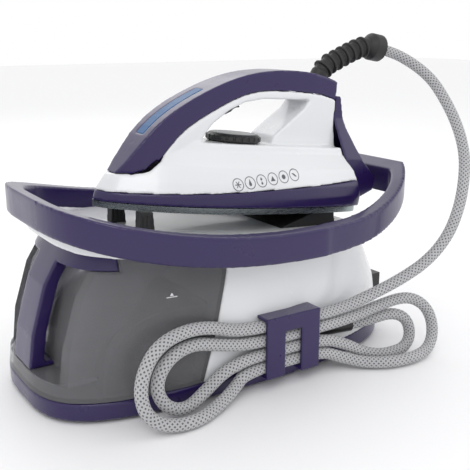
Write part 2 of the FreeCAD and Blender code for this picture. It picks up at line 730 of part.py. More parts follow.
def skirt():
    low = BODY_OUT.common(BELOW_SKIRT_LINE).common(AHEAD_OF_BACK)
    low = low.common(block(-30, 300, -80, 80, size("sole_thick"), 60))
    return iron_feature("skirt", low.cut(BODY_IN))


def iron_body():
    """White body: bowl round the dial, underside of the handle and the posts of the grip."""
    lower = BODY_OUT.cut(BELOW_SKIRT_LINE).common(AHEAD_OF_BACK).common(block(-30, 300, -80, 80, 5, DECK))
    grip = HANDLE_OUT.cut([ABOVE_SPLIT, BELOW_SKIRT_LINE]).common(AHEAD_OF_BACK)
    body = lower.fuse(grip)
    room = BODY_IN.common(block(-30, 300, -80, 80, 0, DECK - SHELL))
    bearing = Part.makeCylinder(size("shaft_radius") + 2.5, 8, V(size("dial_x"), 0, DECK - 9))
    bore = Part.makeCylinder(size("shaft_radius") + size("fit"), 40, V(size("dial_x"), 0, DECK - 20))
    body = body.cut([room, HANDLE_HOLLOW]).fuse(bearing).cut([bore, FINGER_GAP, trigger_slot()])
    body = body.cut(ABOVE_SPLIT)
    return iron_feature("iron_body", body.removeSplitter())


# the trigger slides square to the sloping underside of the grip
TRIGGER_AT = V(121, 0, 88.5)
SLOPE = V(16, 0, 8).normalize()
PRESS = V(-SLOPE.z, 0, SLOPE.x)
TRIGGER_HALF, TRIGGER_WIDE, TRIGGER_LOW, TRIGGER_HIGH = 8.0, 14.0, 5.0, 6.0


def tilted_block(long, wide, low, high):
    """A block on the trigger's axes: along the slope, across, and from low to high along the press."""
    corners = [TRIGGER_AT + SLOPE * a + PRESS * b for a, b in
               ((-long, low), (long, low), (long, high), (-long, high))]
    return side_prism([(c.x, c.z) for c in corners], -wide, wide)


def trigger_slot():
    loose = size("loose")
    return tilted_block(TRIGGER_HALF + loose, TRIGGER_WIDE / 2 + loose, -9, 9)


def trigger():
    key = tilted_block(TRIGGER_HALF, TRIGGER_WIDE / 2, -TRIGGER_LOW, TRIGGER_HIGH)
    nose = TRIGGER_AT + SLOPE * 3 + PRESS * -TRIGGER_LOW
    groove = Part.makeCylinder(9, 60, V(nose.x, -30, nose.z) - PRESS * 8, ACROSS)
    return iron_feature("trigger", key.cut(groove))


SWITCH_LOW = 11.0


def microswitch():
    body = tilted_block(7, HALF_HANDLE - SHELL, SWITCH_LOW, SWITCH_LOW + 7)
    return iron_feature("microswitch", body)


def coil(label, place, radius, wire, length, turns):
    """A compression spring with its axis on the piece's own Z."""
    corners = 10 * turns
    points = []
    for i in range(corners + 1):
        angle = 2 * math.pi * turns * i / corners
        points.append(V(radius * math.cos(angle), radius * math.sin(angle),
                        wire / 2 + (length - wire) * i / corners))
    return feature(label, tube(points, wire / 2)[0], place)


def trigger_spring():
    rest = size("fit")
    foot = TRIGGER_AT + PRESS * (TRIGGER_HIGH + 2 * rest)
    length = SWITCH_LOW - TRIGGER_HIGH - 3 * rest
    return coil("trigger_spring", on_iron(foot.x, 0, foot.z, PRESS), 3.2, 0.7, length, 3)


def handle_cover():
    cover = HANDLE_OUT.common(ABOVE_SPLIT).common(AHEAD_OF_BACK).cut([HANDLE_HOLLOW, FINGER_GAP])
    cover = cover.cut(BODY_IN.common(block(-30, 300, -80, 80, 0, DECK - SHELL)))
    boot_hole = rod(PLUG_RADIUS, ROOT_LOCAL - ROOT_WAY * 8, ROOT_LOCAL + ROOT_WAY * 12)
    cover = cover.cut([INLAY_SPACE.cut(INLAY_UNDER), boot_hole])
    return iron_feature("handle_cover", cover.removeSplitter())


def handle_inlay():
    strip = HANDLE_OUT.common(INLAY_SPACE).cut(INLAY_UNDER)
    return iron_feature("handle_inlay", strip)


HEEL_OUTLINE = [(231, 104), (231, 80), (238, 48), (245, 26), (248, 12), (248, 7), (258, 8), (278, 17),
                (280, 29), (262, 44.5), (254.5, 56.5), (245, 75), (239, 97), (237, 104)]


def heel_cover():
    """Heel of the iron with the flat foot it stands on end with."""
    across = [(-33, 0), (33, 0), (33, 46), (HALF_HANDLE - 1, 84), (HALF_HANDLE - 1, 120),
              (1 - HALF_HANDLE, 120), (1 - HALF_HANDLE, 84), (-33, 46)]
    corners = [V(200, y, z) for y, z in across]
    front = Part.Face(Part.makePolygon(corners + [corners[0]])).extrude(V(100, 0, 0))
    inner_corners = [V(200, y * 0.92, z) for y, z in across]
    inner_front = Part.Face(Part.makePolygon(inner_corners + [inner_corners[0]])).extrude(V(100, 0, 0))
    outer = side_prism(HEEL_OUTLINE, -40, 40).common(front)
    hollow = shrunk_prism(HEEL_OUTLINE, SHELL, 40).common(inner_front)
    hollow = hollow.fuse(hollow.translated(V(-4, 0, 0)))
    cover = outer.cut([hollow, ABOVE_SPLIT.common(AHEAD_OF_BACK)])
    boot_hole = rod(PLUG_RADIUS, ROOT_LOCAL - ROOT_WAY * 8, ROOT_LOCAL + ROOT_WAY * 12)
    return iron_feature("heel_cover", cover.cut(boot_hole).removeSplitter())


def temperature_dial():
    radius, thick = size("dial_radius"), size("dial_thick")
    shaft_long = 16.0
    knob = turned("dial_knob", [(0, -shaft_long), ("sizes.shaft_radius", -shaft_long),
                                ("sizes.shaft_radius", 0),
                                ("sizes.dial_radius - 2", 0), ("sizes.dial_radius", 1.5),
                                ("sizes.dial_radius", "sizes.dial_thick - 2"),
                                ("sizes.dial_radius - 3", "sizes.dial_thick"),
                                (0, "sizes.dial_thick")], named=False)
    doc.recompute()
    grips = [Part.makeCylinder(1.1, thick, V(radius * math.cos(t), radius * math.sin(t), 2))
             for t in [2 * math.pi * i / 24 for i in range(24)]]
    return feature("temperature_dial", knob.Shape.cut(grips), on_iron(size("dial_x"), 0, DECK + 0.5))


def iron_thermostat():
    top = DECK + 0.5 - 16.0
    low = CHAMBER_TOP
    points = [(0, low), (10, low), (10, low + 9), (5, low + 9), (5, top), (0, top)]
    return turned("iron_thermostat", points, IRON_PLACE.multiply(at(size("dial_x"), 0, 0)))


def tube_path(points, share=0.45):
    """Straight runs joined by tangent arcs; returns the wire and the radii of its turns."""
    edges, radii = [], []
    last = points[0]
    for i in range(1, len(points) - 1):
        before, here, after = points[i - 1], points[i], points[i + 1]
        one, two = here - before, after - here
        run = min(one.Length, two.Length)
        half_turn = one.getAngle(two) / 2
        setback = share * run
        start = here - one * (setback / one.Length)
        end = here + two * (setback / two.Length)
        radius = setback / math.tan(half_turn)
        inward = two * (1 / two.Length) - one * (1 / one.Length)
        middle = here + inward * ((radius / math.cos(half_turn) - radius) / inward.Length)
        edges.append(Part.LineSegment(last, start).toShape())
        edges.append(Part.Arc(start, middle, end).toShape())
        radii.append(radius)
        last = end
    edges.append(Part.LineSegment(last, points[-1]).toShape())
    return Part.Wire(edges), radii


def tube(points, radius, bore=0.0):
    wire, radii = tube_path(points)
    way = points[1] - points[0]
    section = Part.Wire([Part.Circle(points[0], way, radius).toShape()])
    solid = wire.makePipeShell([section], True, False)
    if bore:
        hollow = Part.Wire([Part.Circle(points[0], way, bore).toShape()])
        solid = solid.cut(wire.makePipeShell([hollow], True, False))
    return solid, wire, radii


def iron_steam_tube():
    """Tube from the foot of the boot down to the steam chamber."""
    root = ROOT_LOCAL
    points = [root - ROOT_WAY * PLUG_LONG, root - ROOT_WAY * 14, V(219, 0, 84), V(214, 0, 60), V(196, 0, 42),
              V(195, 0, CHAMBER_TOP)]
    shape, wire, radii = tube(points, 3.0, 1.8)
    return iron_feature("iron_steam_tube", shape)


soleplate()
steam_chamber()
sole_element()
heat_shield()
iron_screws()
skirt()
iron_body()
trigger()
microswitch()
trigger_spring()
handle_cover()
handle_inlay()
heel_cover()
temperature_dial()
iron_thermostat()
iron_steam_tube()

# ---------------------------------------------------------------------------------------- hose
HOSE = size("hose_size") / 2
CLIP_ENDS = (size("clip_x") - size("clip_long") / 2, size("clip_x") + size("clip_long") / 2)
STRAND_Y = -(HALF + size("strand_gap") + HOSE)
PITCH = size("hose_size") + 1.0
STRANDS = [size("clip_low") + size("clip_wall") + 0.5 + HOSE + PITCH * i for i in (3, 2, 1, 0)]


def strand(level, x):
    return V(x, STRAND_Y, STRANDS[level])


EXTRA = 16.0
LEFT_X, RIGHT_X = CLIP_ENDS[0] - EXTRA, CLIP_ENDS[1] + EXTRA
ROOT_WORLD = IRON_PLACE.multVec(ROOT_LOCAL)
BOOT_WAY = IRON_PLACE.Rotation.multVec(ROOT_WAY)
BOOT_GUIDES = [(8, 9.5), (44, 24), (66, 28)]
CUP_WAY = V(0.985, 0, -0.17)
CUP_LONG, CUP_RADIUS, WAIST_RADIUS, RIB_RADIUS = 17.0, 13.0, 7.6, 10.2
SOCKET = 12.0
CUP_START = ROOT_WORLD + V(60.5, 0, 28.3)
CUP_END = CUP_START + CUP_WAY * CUP_LONG
FREE_GUIDES = [(217.6, -10, 266.5), (233.2, -30, 249), (235, -50, 228), (233.2, -70, 204),
               (225.2, -88, 180), (212, -101, 157), (197, -110, 133), (180, -114, 110), (158, -112, 90),
               (130, -107, 76), (100, -101, 65)]
LEFT_OUTER = [(-66, -97, 69.5), (-92, -100, 72), (-115, -103, 66), (-128, -106, 51), (-133, -108, 34),
              (-130, -112, 17), (-116, -118, 7), (-93, -121, 6), (-70, -112, 6.5), (-44, -99, 11)]
LEFT_INNER = [(-58, -96, 52), (-80, -96, 58), (-100, -98, 54), (-113, -100, 42), (-116, -102, 27),
              (-107, -104, 13), (-90, -103, 8), (-70, -97.5, 16), (-52, -95.5, 27)]
RIGHT_OUTER = [(67, -99, 13), (86, -110, 6.5), (105, -122, 6.5), (124, -126, 6.5), (141, -125, 6.5),
               (156, -121, 7.5), (168, -115, 16), (172, -109, 29), (167.5, -104, 42), (156, -99, 50.5),
               (141, -96.5, 53), (118, -95, 50.5), (88, -95, 45.8)]
RIGHT_INNER = [(76, -97, 22), (94, -101, 11), (112, -106, 6.5), (128, -106, 6), (140, -105, 6),
               (149.5, -103, 12), (152.6, -100, 21.4), (149.5, -97, 30.9), (140, -94.5, 36.8),
               (129, -92, 38), (118, -90, 36.5)]
OUTLET_END = OUTLET + OUTLET_WAY * OUTLET_LONG


# the guides are laid out for strands at this distance from the middle and this height
GUIDE_Y, GUIDE_TOP = -95.2, 55.75
SPREAD, RISE = STRAND_Y / GUIDE_Y, STRANDS[0] / GUIDE_TOP


def vectors(guides, rise=1.0):
    """Guides moved out with the clip's strands, and up with them for the loops."""
    return [V(x, y * SPREAD, z * rise) for x, y, z in guides]


FREE_PATH = ([CUP_END - CUP_WAY * SOCKET, CUP_END + CUP_WAY * 9] + vectors(FREE_GUIDES)
             + [strand(0, RIGHT_X + 12), strand(0, RIGHT_X - 14)])
HANK_PATH = ([strand(0, RIGHT_X - 14), strand(0, LEFT_X)] + vectors(LEFT_OUTER, RISE)
             + [strand(3, LEFT_X), strand(3, RIGHT_X - 8)] + vectors(RIGHT_OUTER, RISE)
             + [strand(1, RIGHT_X), strand(1, LEFT_X + 4)] + vectors(LEFT_INNER, RISE)
             + [strand(2, LEFT_X + 4), strand(2, RIGHT_X - 6)] + vectors(RIGHT_INNER, RISE)
             + [OUTLET_END + OUTLET_WAY * 10, OUTLET_END - OUTLET_WAY * SOCKET])


def hose(label, points):
    shape, wire, radii = tube(points, HOSE)
    expected = math.pi * HOSE ** 2 * wire.Length
    print("%s: %.0f mm long, turn radii %s, volume over section times length %.4f"
          % (label, wire.Length, [round(r) for r in radii], shape.Volume / expected))
    return feature(label, shape)


def hose_boot():
    """Ribbed bend protector between the handle and the hose, with a cup that holds the hose."""
    middle = [ROOT_WORLD + V(x, 0, z) for x, z in BOOT_GUIDES[:-1]]
    points = [ROOT_WORLD - BOOT_WAY * PLUG_LONG] + middle + [CUP_START, CUP_START + CUP_WAY * 4]
    wire, radii = tube_path(points)
    section = Part.Wire([Part.Circle(points[0], BOOT_WAY, WAIST_RADIUS).toShape()])
    boot = wire.makePipeShell([section], True, False)
    length = wire.Length
    ribs = []
    count = 9
    along = wire.discretize(Number=4 * count + 1)
    for i in range(count):
        here, after = along[4 * i + 3], along[4 * i + 4]
        if (here - ROOT_WORLD).dot(BOOT_WAY) > 1:
            ribs.append(Part.makeCylinder(RIB_RADIUS, 2.4, here, after - here))
    cup = Part.makeCone(WAIST_RADIUS + 1, CUP_RADIUS, 5, CUP_START, CUP_WAY)
    cup = cup.fuse(Part.makeCylinder(CUP_RADIUS, CUP_LONG - 5, CUP_START + CUP_WAY * 5, CUP_WAY))
    boot = boot.fuse(ribs + [cup])
    bore_section = Part.Wire([Part.Circle(points[0], BOOT_WAY, TUBE_BORE).toShape()])
    bore = wire.makePipeShell([bore_section], True, False)
    socket = rod(HOSE, CUP_END - CUP_WAY * SOCKET, CUP_END + CUP_WAY)
    handle = HANDLE_OUT.copy()
    handle.Placement = IRON_PLACE
    plug_way = rod(PLUG_RADIUS, ROOT_WORLD - BOOT_WAY * PLUG_LONG, ROOT_WORLD + BOOT_WAY * 6)
    boot = boot.fuse(plug_way).cut([bore, socket])
    link = rod(TUBE_BORE, CUP_START, CUP_END - CUP_WAY * (SOCKET - 1))
    return feature("hose_boot", boot.cut([link, handle.cut(plug_way)]))


def hose_clip():
    """Bracket that holds four strands of the hose against the side of the base."""
    wall = size("clip_wall")
    x_low, x_high = CLIP_ENDS
    low, high = size("clip_low"), STRANDS[0] + HOSE + size("clip_room") + wall
    face = STRAND_Y - HOSE - 0.5
    plate = block(x_low, x_high, face - wall, face, low, high)
    roof = block(x_low, x_high, face, -HALF + 12, high - wall, high)
    foot = block(x_low, x_high, face, -HALF + 12, low, low + wall)
    slot = block(size("clip_x") - size("slot_width") / 2, size("clip_x") + size("slot_width") / 2,
                 face - 20, -HALF + 20, low - 1, high - 14)
    base = prism(outline_wire(WIDEST, size("base_front"), size("base_rear"), HALF, size("front_power"),
                              size("rear_power"), 0), TRAY_TOP)
    bracket = plate.fuse([roof, foot]).removeSplitter().cut(slot)
    return feature("hose_clip", bracket.cut(CASING_OUT).cut(base))


def hose_outlet():
    far = OUTLET + OUTLET_WAY * OUTLET_LONG
    bores = [rod(TUBE_BORE, OUTLET, far), rod(HOSE, far - OUTLET_WAY * SOCKET, far)]
    return feature("hose_outlet", gland_blank().cut(bores))


hose_boot()
hose_clip()
hose_outlet()
hose("steam_hose", FREE_PATH)
hose("hose_hank", HANK_PATH)

# ---------------------------------------------------------------------------------------- rear fittings
REAR_WALL = TAIL - 6.0


def mains_inlet():
    """Bushing for the mains lead."""
    collar = Part.makeCylinder(INLET_RADIUS + 1, 20, V(REAR_WALL - 14, INLET_Y, INLET_Z), ALONG)
    collar = collar.cut(CASING_OUT)
    tube_part = Part.makeCylinder(INLET_RADIUS - 2, 26, V(REAR_WALL - 16, INLET_Y, INLET_Z), ALONG)
    bore = Part.makeCylinder(3.2, 40, V(REAR_WALL - 20, INLET_Y, INLET_Z), ALONG)
    return feature("mains_inlet", collar.fuse(tube_part).cut(bore).removeSplitter())


PIVOT_X = REAR_WALL - 0.5
PIN_RADIUS = 1.5


def switch_frame():
    half_wide, half_high = SWITCH_WIDE / 2, SWITCH_HIGH / 2
    front = REAR_WALL + 4.5
    body = block(PIVOT_X - 9, front, SWITCH_Y - half_wide, SWITCH_Y + half_wide, SWITCH_Z - half_high,
                 SWITCH_Z + half_high)
    flange = block(PIVOT_X - 9, front, SWITCH_Y - half_wide - 2.5, SWITCH_Y + half_wide + 2.5,
                   SWITCH_Z - half_high - 2.5, SWITCH_Z + half_high + 2.5).cut(CASING_OUT)
    room = block(PIVOT_X - 7, front + 5, SWITCH_Y - 7.5, SWITCH_Y + 7.5, SWITCH_Z - 7, SWITCH_Z + 7)
    pins = Part.makeCylinder(PIN_RADIUS + size("fit"), 18.4, V(PIVOT_X, SWITCH_Y - 9.2, SWITCH_Z), ACROSS)
    return feature("switch_frame", body.fuse(flange).cut([room, pins]).removeSplitter())


def switch_rocker():
    """Rocker of the mains switch, lying in its off position."""
    outline = [(-4, -3.5), (-4, 3.5), (3, 6), (5, 6), (3.4, 0), (5, -6), (3, -6)]
    rocker = side_prism([(PIVOT_X + x, SWITCH_Z + z) for x, z in outline], SWITCH_Y - 7, SWITCH_Y + 7)
    pin = Part.makeCylinder(PIN_RADIUS, 18, V(PIVOT_X, SWITCH_Y - 9, SWITCH_Z), ACROSS)
    rocker = rocker.fuse(pin).removeSplitter()
    rocker.rotate(V(PIVOT_X, SWITCH_Y, SWITCH_Z), ACROSS, -8)
    return feature("switch_rocker", rocker)


mains_inlet()
switch_frame()
switch_rocker()

# ---------------------------------------------------------------------------------------- works of the base
BOILER = V(-20, 8, 58)
BOILER_RADIUS, BOILER_LONG = 34.0, 118.0


def boiler_vessel():
    """Hollow steel vessel lying along the base, with an opening for the element at its rear end."""
    radius, long = BOILER_RADIUS, BOILER_LONG
    outer = [(0, 0), (20, 0), (30, 5), (radius, 14), (radius, long - 14), (30, long - 5), (20, long),
             (12, long)]
    inner = [(12, long - 2), (19, long - 2), (28.5, long - 6.7), (radius - 2, long - 14.6),
             (radius - 2, 14.6),
             (28.5, 6.7), (19, 2), (0, 2)]
    return turned("boiler_vessel", outer + inner, pointing(BOILER.x, BOILER.y, BOILER.z, ALONG))


def boiler_brackets():
    """Two saddles between the tray and the vessel."""
    drum = Part.makeCylinder(BOILER_RADIUS, BOILER_LONG, BOILER, ALONG)
    saddles = []
    for x in (BOILER.x + 24, BOILER.x + BOILER_LONG - 28):
        plate = block(x, x + 4, BOILER.y - 28, BOILER.y + 28, FLOOR, BOILER.z - 16)
        window = block(x - 1, x + 5, BOILER.y - 18, BOILER.y + 18, FLOOR + 4, FLOOR + 12)
        foot = block(x, x + 10, BOILER.y - 28, BOILER.y + 28, FLOOR, FLOOR + 2)
        saddles.append(plate.fuse(foot).cut([drum, window]).removeSplitter())
    return feature("boiler_brackets", Part.makeCompound(saddles))


def boiler_element():
    """Heating element with its flange and two terminals."""
    x = BOILER.x + BOILER_LONG
    flange = Part.makeCylinder(16, 3, V(x, BOILER.y, BOILER.z), ALONG)
    plug = Part.makeCylinder(11.7, 4, V(x - 4, BOILER.y, BOILER.z), ALONG)
    rods = hairpin(x - 92, x - 3, 7, BOILER.z, 3).translated(V(0, BOILER.y, 0))
    tabs = [block(x + 3, x + 12, y - 0.4, y + 0.4, BOILER.z - 3, BOILER.z + 3)
            for y in (BOILER.y - 7, BOILER.y + 7)]
    return feature("boiler_element", flange.fuse([plug, rods] + tabs).removeSplitter())


def boiler_thermostat():
    points = [(0, 0), (9, 0), (9, 5), (5, 5), (5, 9), (0, 9)]
    return turned("boiler_thermostat", points, pointing(BOILER.x, BOILER.y, BOILER.z, V(-1, 0, 0)))


VALVE = V(BOILER.x + 80, BOILER.y, BOILER.z + BOILER_RADIUS)


def solenoid_valve():
    drum = Part.makeCylinder(BOILER_RADIUS, BOILER_LONG, BOILER, ALONG)
    body = block(VALVE.x - 10, VALVE.x + 10, VALVE.y - 10, VALVE.y + 10, VALVE.z - 4, VALVE.z + 6).cut(drum)
    coil_part = block(VALVE.x - 9, VALVE.x + 9, VALVE.y - 8, VALVE.y + 8, VALVE.z + 6, VALVE.z + 19)
    coil_part = coil_part.makeFillet(3, [edge for edge in coil_part.Edges if edge.BoundBox.ZLength > 10])
    return feature("solenoid_valve", body.fuse(coil_part).removeSplitter())


PUMP = V(-128, 0, 44)
PUMP_RADIUS, PUMP_LONG = 18.0, 56.0


def water_pump():
    points = [(0, 0), (6, 0), (6, 8), (PUMP_RADIUS, 8), (PUMP_RADIUS, 20), (PUMP_RADIUS - 3, 20),
              (PUMP_RADIUS - 3, 32), (PUMP_RADIUS, 32), (PUMP_RADIUS, 42), (6, 42), (6, PUMP_LONG),
              (0, PUMP_LONG)]
    return turned("water_pump", points, pointing(PUMP.x, PUMP.y, PUMP.z, ALONG))


def pump_mounts():
    """Rubber saddles under the pump."""
    drum = Part.makeCylinder(PUMP_RADIUS, PUMP_LONG, PUMP, ALONG)
    blocks = [block(x, x + 8, -11, 11, FLOOR, PUMP.z - 10).cut(drum) for x in (PUMP.x + 9, PUMP.x + 33)]
    return feature("pump_mounts", Part.makeCompound(blocks))


DOCK_LONG = 24.0


def dock_valve():
    """Socket behind the bulkhead that the tank's spigot plugs into."""
    start = NIPPLE.x - 2
    end = NIPPLE.x + DOCK_LONG
    body = Part.makeCylinder(7.3, end - start, V(start, NIPPLE.y, NIPPLE.z), ALONG)
    body = body.cut(ahead_of_seam(-WALL))
    bore = Part.makeCylinder(NIPPLE_RADIUS + 0.5, NIPPLE_OUT + 4, V(start, NIPPLE.y, NIPPLE.z), ALONG)
    through = Part.makeCylinder(NIPPLE_BORE, 60, V(start, NIPPLE.y, NIPPLE.z), ALONG)
    groove = Part.makeCylinder(SEAL_RADIUS, SEAL_WIDE, V(NIPPLE.x + 5, NIPPLE.y, NIPPLE.z), ALONG)
    return feature("dock_valve", body.cut([bore, through, groove]))


SEAL_RADIUS, SEAL_WIDE = 6.0, 3.0


def dock_seal():
    points = [("4.3", 0), (SEAL_RADIUS, 0), (SEAL_RADIUS, SEAL_WIDE), ("4.3", SEAL_WIDE)]
    return turned("dock_seal", points, pointing(NIPPLE.x + 5, NIPPLE.y, NIPPLE.z, ALONG))


def pipe(label, points, radius, bore, cutters=()):
    shape, wire, radii = tube(points, radius, bore)
    return feature(label, shape.cut(list(cutters)) if cutters else shape)


def pipes():
    drum = Part.makeCylinder(PUMP_RADIUS - 3, PUMP_LONG, PUMP, ALONG)
    dock_end = V(NIPPLE.x + DOCK_LONG, NIPPLE.y, NIPPLE.z)
    pipe("suction_tube", [dock_end, dock_end + V(14, 0, 0), dock_end + V(22, -14, -10), V(-30, 40, 12),
                          V(-52, 25, 11), V(-82, 19, 11), V(PUMP.x + 25, 18, 11), V(PUMP.x + 25, 0, 16),
                          V(PUMP.x + 25, 0, PUMP.z)], 3.2, 2.0, [drum])
    pump_end = PUMP + V(PUMP_LONG, 0, 0)
    feed_y = BOILER.y - 15
    pipe("feed_tube", [pump_end, pump_end + V(12, 0, 0), V(-40, feed_y, 56),
                       V(BOILER.x - 8, feed_y, BOILER.z),
                       V(BOILER.x, feed_y, BOILER.z)], 3.0, 1.8)
    side = V(VALVE.x, VALVE.y - 10, VALVE.z + 1)
    pipe("steam_tube", [side, side + V(0, -22, 0), V(48, -50, 80), V(36, -64, 58), V(35, -70, 40),
                        OUTLET - OUTLET_WAY * 12, OUTLET], 3.2, 2.0)


BOARD_Z = FLOOR + 6.5


def control_board():
    x_low, y_low = 4.0, 45.0
    board = block(x_low, x_low + 74, y_low, y_low + 30, BOARD_Z, BOARD_Z + 1.6)
    top = BOARD_Z + 1.6
    relay = block(x_low + 8, x_low + 26, y_low + 8, y_low + 22, top, top + 15)
    transformer = block(x_low + 34, x_low + 54, y_low + 6, y_low + 24, top, top + 16)
    capacitor = Part.makeCylinder(5, 13, V(x_low + 64, y_low + 15, top))
    return feature("control_board", board.fuse([relay, transformer, capacitor]).removeSplitter())


def board_posts():
    posts = [Part.makeCylinder(2.5, BOARD_Z - FLOOR, V(x, y, FLOOR)) for x in (8, 74) for y in (48.5, 71.5)]
    return feature("board_posts", Part.makeCompound(posts))


boiler_vessel()
boiler_brackets()
boiler_element()
boiler_thermostat()
solenoid_valve()
water_pump()
pump_mounts()
dock_valve()
dock_seal()
pipes()
control_board()
board_posts()

# ---------------------------------------------------------------------------------------- output
doc.recompute()
os.makedirs("parts", exist_ok=True)
for obj in NODES:
    bad = [state for state in obj.State if state in ("Invalid", "Error")]
    if bad or obj.Shape.isNull() or not obj.Shape.isValid():
        raise RuntimeError("sub-part %s is not sound: %s" % (obj.Label, obj.State))
    if not obj.Shape.Solids:
        raise RuntimeError("sub-part %s has no solid" % obj.Label)
    obj.Shape.exportStep(os.path.join("parts", obj.Label + ".step"))
    box = obj.Shape.BoundBox
    print("%-18s solids %d  x %.1f..%.1f  y %.1f..%.1f  z %.1f..%.1f  volume %.0f"
          % (obj.Label, len(obj.Shape.Solids), box.XMin, box.XMax, box.YMin, box.YMax, box.ZMin, box.ZMax,
             obj.Shape.Volume))
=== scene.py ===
import json
import math

import bmesh
import bpy
from mathutils import Matrix, Vector
from mathutils.bvhtree import BVHTree


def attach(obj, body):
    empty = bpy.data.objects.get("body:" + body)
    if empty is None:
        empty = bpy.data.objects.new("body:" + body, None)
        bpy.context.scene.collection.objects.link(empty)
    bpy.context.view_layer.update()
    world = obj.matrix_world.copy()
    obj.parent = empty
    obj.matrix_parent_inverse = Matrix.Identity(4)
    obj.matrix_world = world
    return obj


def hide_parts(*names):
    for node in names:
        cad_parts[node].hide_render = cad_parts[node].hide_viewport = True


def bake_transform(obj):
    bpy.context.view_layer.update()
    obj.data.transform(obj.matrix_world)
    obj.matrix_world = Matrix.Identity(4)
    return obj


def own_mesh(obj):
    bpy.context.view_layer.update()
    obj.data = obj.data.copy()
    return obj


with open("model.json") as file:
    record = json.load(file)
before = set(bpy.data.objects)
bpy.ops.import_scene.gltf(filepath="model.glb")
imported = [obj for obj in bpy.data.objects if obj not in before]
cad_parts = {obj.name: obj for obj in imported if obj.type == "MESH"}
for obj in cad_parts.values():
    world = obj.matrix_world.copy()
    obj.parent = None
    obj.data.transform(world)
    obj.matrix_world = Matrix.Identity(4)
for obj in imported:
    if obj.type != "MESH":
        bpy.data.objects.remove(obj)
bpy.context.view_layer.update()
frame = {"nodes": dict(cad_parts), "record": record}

bl_info = {
    "name": "Steam generator iron",
    "version": (1, 0, 0),
    "blender": (4, 5, 0),
    "location": "3D View > Sidebar > Steam iron",
    "description": "Builds a steam generator iron round its CAD frame: shells, tank, hose, dial and stage",
    "category": "Add Mesh",
}

# ------------------------------------------------------------------------------------ sizes and places
# the resting iron's own axes: X from its tip, Z up from its sole
IRON = Matrix.Translation((-0.1179, 0, 0.1544)) @ Matrix.Rotation(math.radians(6), 4, "Y")
HOSE_SIZE = 0.0105
# the hose's route in metres: from the boot down to the clip, then through the loops to the outlet
FREE_ROUTE = [
    (0.1789, 0.0, 0.2781), (0.1995, 0.0, 0.2745), (0.2176, -0.01, 0.2665), (0.2332, -0.03, 0.249),
    (0.235, -0.05, 0.228), (0.2332, -0.07, 0.204), (0.2252, -0.088, 0.18), (0.212, -0.101, 0.157),
    (0.197, -0.11, 0.133), (0.18, -0.114, 0.11), (0.158, -0.112, 0.09), (0.13, -0.107, 0.076),
    (0.1, -0.101, 0.065), (0.068, -0.0952, 0.0558), (0.042, -0.0952, 0.0558)]
HANK_ROUTE = [
    (0.042, -0.0952, 0.0558), (-0.031, -0.0952, 0.0558), (-0.066, -0.097, 0.0695), (-0.092, -0.1, 0.072),
    (-0.115, -0.103, 0.066), (-0.128, -0.106, 0.051), (-0.133, -0.108, 0.034), (-0.13, -0.112, 0.017),
    (-0.116, -0.118, 0.007), (-0.093, -0.121, 0.006), (-0.07, -0.112, 0.0065), (-0.044, -0.099, 0.011),
    (-0.031, -0.0952, 0.0213), (0.048, -0.0952, 0.0213), (0.067, -0.099, 0.013), (0.086, -0.11, 0.0065),
    (0.105, -0.122, 0.0065), (0.124, -0.126, 0.0065), (0.141, -0.125, 0.0065), (0.156, -0.121, 0.0075),
    (0.168, -0.115, 0.016), (0.172, -0.109, 0.029), (0.1675, -0.104, 0.042), (0.156, -0.099, 0.0505),
    (0.141, -0.0965, 0.053), (0.118, -0.095, 0.0505), (0.088, -0.095, 0.0458), (0.056, -0.0952, 0.0442),
    (-0.027, -0.0952, 0.0442), (-0.058, -0.096, 0.052), (-0.08, -0.096, 0.058), (-0.1, -0.098, 0.054),
    (-0.113, -0.1, 0.042), (-0.116, -0.102, 0.027), (-0.107, -0.104, 0.013), (-0.09, -0.103, 0.008),
    (-0.07, -0.0975, 0.016), (-0.052, -0.0955, 0.027), (-0.027, -0.0952, 0.0328), (0.05, -0.0952, 0.0328),
    (0.076, -0.097, 0.022), (0.094, -0.101, 0.011), (0.112, -0.106, 0.0065), (0.128, -0.106, 0.006),
    (0.14, -0.105, 0.006), (0.1495, -0.103, 0.012), (0.1526, -0.1, 0.0214), (0.1495, -0.097, 0.0309),
    (0.14, -0.0945, 0.0368), (0.129, -0.092, 0.038), (0.118, -0.09, 0.0365), (0.1009, -0.0867, 0.034),
    (0.0794, -0.0818, 0.034)]
# the row of printed marks on the iron's near side: first and last centre, and their radius
MARKS = ((-0.0066, 0.1676), (0.0525, 0.1702), 6)
MARK_RADIUS = 0.0052
# the tank's level mark
LEVEL_MARK = (-0.0916, 0.0951)
# dial: centre of its top in the iron's own axes
DIAL_TOP = (0.131, 0.0, 0.0640)
DIAL_CAP_RADIUS = 0.0215


def colour_property(name, description, default):
    return bpy.props.FloatVectorProperty(name=name, description=description, default=default, size=3,
                                         subtype="COLOR", min=0, max=1)


class IronColours(bpy.types.PropertyGroup):
    """Colours of the mouldings."""
    purple: colour_property("Purple", "Tray, carry frame, handle and grip", (0.017, 0.007, 0.068))
    white: colour_property("White", "Housing, rest plate and iron body", (0.72, 0.73, 0.75))
    smoke: colour_property("Tank tint", "Tint of the water tank", (0.55, 0.55, 0.575))
    black: colour_property("Black", "Rubber and switch parts", (0.012, 0.012, 0.013))
    inlay: colour_property("Inlay", "Soft strip on top of the handle", (0.0, 0.075, 0.22))
    cloth: colour_property("Hose cloth", "Light yarn of the hose braid", (0.62, 0.62, 0.64))
    lozenge: colour_property("Hose lozenges", "Dark yarn of the hose braid", (0.10, 0.10, 0.11))


